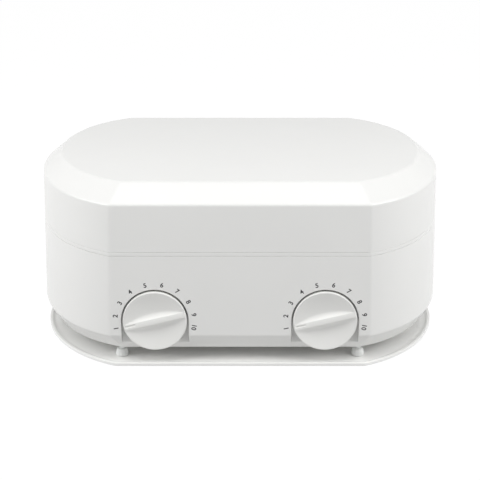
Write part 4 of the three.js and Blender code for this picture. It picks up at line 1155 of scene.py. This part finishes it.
def numerals(side):
    """The printed figures 1 to 10 round a knob, on the leaning face, with their tops outwards."""
    bm = bmesh.new()
    up = Vector((0, FLARE_SHARE, 1)).normalized()
    right = Vector((1, 0, 0))
    out = right.cross(up)
    face = Matrix((right, up, out)).transposed()
    for i in range(NUMERAL_COUNT):
        curve = bpy.data.curves.new("figure", "FONT")
        curve.body = str(i + 1)
        curve.size = NUMERAL_HEIGHT / NUMERAL_HEIGHT_SHARE * MM
        curve.align_x = "CENTER"
        curve.align_y = "CENTER"
        curve.extrude = NUMERAL_PROUD * MM
        curve.offset = NUMERAL_BOLDNESS * MM
        curve.bevel_depth = NUMERAL_ROUNDING * MM
        text = object_of("figure", curve)
        mesh = mesh_of(text)
        place = i - (NUMERAL_COUNT - 1) / 2
        angle = math.radians(NUMERAL_MIDDLE_DEG + NUMERAL_STEP_DEG * place + NUMERAL_CROWDING_DEG * place**3)
        turn = Matrix.Rotation(angle - math.pi / 2, 3, "Z")
        x = SIDES[side] * WELL_X + NUMERAL_RING_RADIUS * math.cos(angle)
        z = KNOB_HEIGHT + NUMERAL_RING_RADIUS * math.sin(angle)
        y = -(HALF_DEPTH - lean(z))
        flatten = Matrix.Diagonal((1, 1, NUMERAL_PROUD / (NUMERAL_PROUD + NUMERAL_ROUNDING), 1))
        mesh.transform(Matrix.Translation(Vector((x, y, z)) * MM) @ (face @ turn).to_4x4() @ flatten)
        bm.from_mesh(mesh)
        bpy.data.objects.remove(text)
        bpy.data.meshes.remove(mesh)
    figures = object_from(bm, f"dial_numerals_{side}")
    finished(figures, "warmer", "dark_plastic", DIAL_INK)


# Materials of the CAD pieces that stay


def dress_nodes():
    """Gives the CAD nodes their slots' materials, which show on those that aren't replaced."""
    slots = {part["node"]: part["material_slot"] for part in frame["record"]["subparts"]}
    shared = {
        "white_shell": WHITE_SHELL,
        "white_knob": WHITE_KNOB,
        "dark_plastic": DARK_PLASTIC,
        "block_plastic": BLOCK_PLASTIC,
        "grey_rubber": GREY_RUBBER,
        "pale_fibre": PALE_FIBRE,
        "steel": STEEL,
        "heater_skin": HEATER_SKIN,
        "fuse_ceramic": FUSE_CERAMIC,
    }
    for name, node in frame["nodes"].items():
        slot = slots[name]
        side = "left" if name.endswith("left") else "right"
        material = ALUMINIUM[side] if slot == "aluminium" else shared[slot]
        for place in node.material_slots:
            place.material = material


# Stage, light and camera

CAMERA_ELEVATION_DEG = 23.85
CAMERA_DISTANCE = 1594.0
CAMERA_TARGET_HEIGHT = 85.0
CAMERA_LENS = 120.0
CAMERA_SENSOR = 36.0
CAMERA_SHIFT = -0.0048
CAMERA_CLIP = 100.0
FLOOR_SIZE = 12000.0
LIGHT_TARGET = (0.0, 0.0, 100.0)
KEY_PLACE = (0.0, -360.0, 830.0)
KEY_SIZE = (1500.0, 300.0)
KEY_POWER = 3.42
SIDE_PLACE = (1300.0, -230.0, 385.0)
SIDE_SIZE = (700.0, 900.0)
SIDE_POWER = 2.75
CORNER_PLACE = (900.0, -420.0, 700.0)
CORNER_SIZE = (500.0, 500.0)
CORNER_POWER = 3.55
AMBIENT = 0.303
FLOOR_TONE = 0.6
FLOOR_GLOW_SHARE = 0.9
FLOOR_GLOW = 1.08


def seen_rays(nodes):
    """One for what the camera, a mirror or glass sees, and nought for the light that falls on things."""
    rays = nodes.add("ShaderNodeLightPath").outputs
    mirrored = nodes.maths("MAXIMUM", rays["Is Glossy Ray"], rays["Is Transmission Ray"])
    return nodes.maths("MAXIMUM", rays["Is Camera Ray"], mirrored)


def mixed(nodes, share, one, two, output):
    """Feeds the tree's output with a mix of two shaders."""
    mix = nodes.add("ShaderNodeMixShader", {0: share, 1: one.outputs[0], 2: two.outputs[0]})
    nodes.feed(nodes.tree.nodes[output].inputs["Surface"], mix.outputs["Shader"])


def world():
    """A faint even light from all round, which looks white to the camera."""
    made = bpy.data.worlds.new("studio")
    bpy.context.scene.world = made
    made.use_nodes = True
    nodes = Nodes(made.node_tree)
    light = nodes.tree.nodes["Background"]
    white = nodes.add("ShaderNodeBackground")
    for background, strength in ((light, AMBIENT), (white, 1.0)):
        background.inputs["Color"].default_value = (1.0, 1.0, 1.0, 1.0)
        background.inputs["Strength"].default_value = strength
    mixed(nodes, seen_rays(nodes), light, white, "World Output")


def floor():
    """A pale floor that is white to the camera where nothing shades it."""
    half = FLOOR_SIZE / 2
    bm = bmesh.new()
    corners = [(-half, -half), (half, -half), (half, half), (-half, half)]
    bm.faces.new([bm.verts.new((x * MM, y * MM, 0)) for x, y in corners])
    made = object_from(bm, "studio_floor")
    material = bpy.data.materials.new("studio_floor")
    material.use_nodes = True
    nodes = Nodes(material.node_tree)
    nodes.tree.nodes.remove(nodes.tree.nodes["Principled BSDF"])
    tone = (FLOOR_TONE, FLOOR_TONE, FLOOR_TONE, 1.0)
    matte = nodes.add("ShaderNodeBsdfDiffuse", {"Color": tone})
    glow = nodes.add("ShaderNodeEmission", {"Strength": FLOOR_GLOW})
    share = nodes.maths("MULTIPLY", seen_rays(nodes), FLOOR_GLOW_SHARE)
    mixed(nodes, share, matte, glow, "Material Output")
    made.data.materials.append(material)


def area_light(name, place, target, size, power):
    """A soft rectangular light at a place in millimetres that faces a target."""
    data = bpy.data.lights.new(name, "AREA")
    data.shape = "RECTANGLE"
    data.size, data.size_y = (side * MM for side in size)
    data.energy = power
    made = object_of(name, data)
    made.location = Vector(place) * MM
    made.rotation_euler = (Vector(target) - Vector(place)).to_track_quat("-Z", "Y").to_euler()


def lights():
    """A light above the front, and two on each side."""
    area_light("key", KEY_PLACE, LIGHT_TARGET, KEY_SIZE, KEY_POWER)
    for name, sign in SIDES.items():
        mirror = np.array([sign, 1, 1])
        area_light(f"side_{name}", mirror * SIDE_PLACE, LIGHT_TARGET, SIDE_SIZE, SIDE_POWER)
        area_light(f"corner_{name}", mirror * CORNER_PLACE, LIGHT_TARGET, CORNER_SIZE, CORNER_POWER)


def camera():
    """The photograph's camera, straight before the warmer."""
    data = bpy.data.cameras.new("camera")
    data.lens = CAMERA_LENS
    data.sensor_width = CAMERA_SENSOR
    data.shift_y = CAMERA_SHIFT
    data.clip_start = CAMERA_CLIP * MM
    made = object_of("camera", data)
    elevation = math.radians(CAMERA_ELEVATION_DEG)
    back = Vector((0, -math.cos(elevation), math.sin(elevation)))
    target = Vector((0, 0, CAMERA_TARGET_HEIGHT))
    made.location = (target + back * CAMERA_DISTANCE) * MM
    made.rotation_euler = (-back).to_track_quat("-Z", "Y").to_euler()
    bpy.context.scene.camera = made


camera()
world()
floor()
lights()
lid_shell()
housing_shell()
deck_panel()
base_tray()
feet()
foot_screws()
gland()
for side in SIDES:
    heating_well(side)
    wax_pot(side)
    pot_ear(side, "front", -1)
    pot_ear(side, "rear", 1)
    knob(side)
    numerals(side)
dress_nodes()

bpy.context.scene.view_settings.view_transform = "Standard"
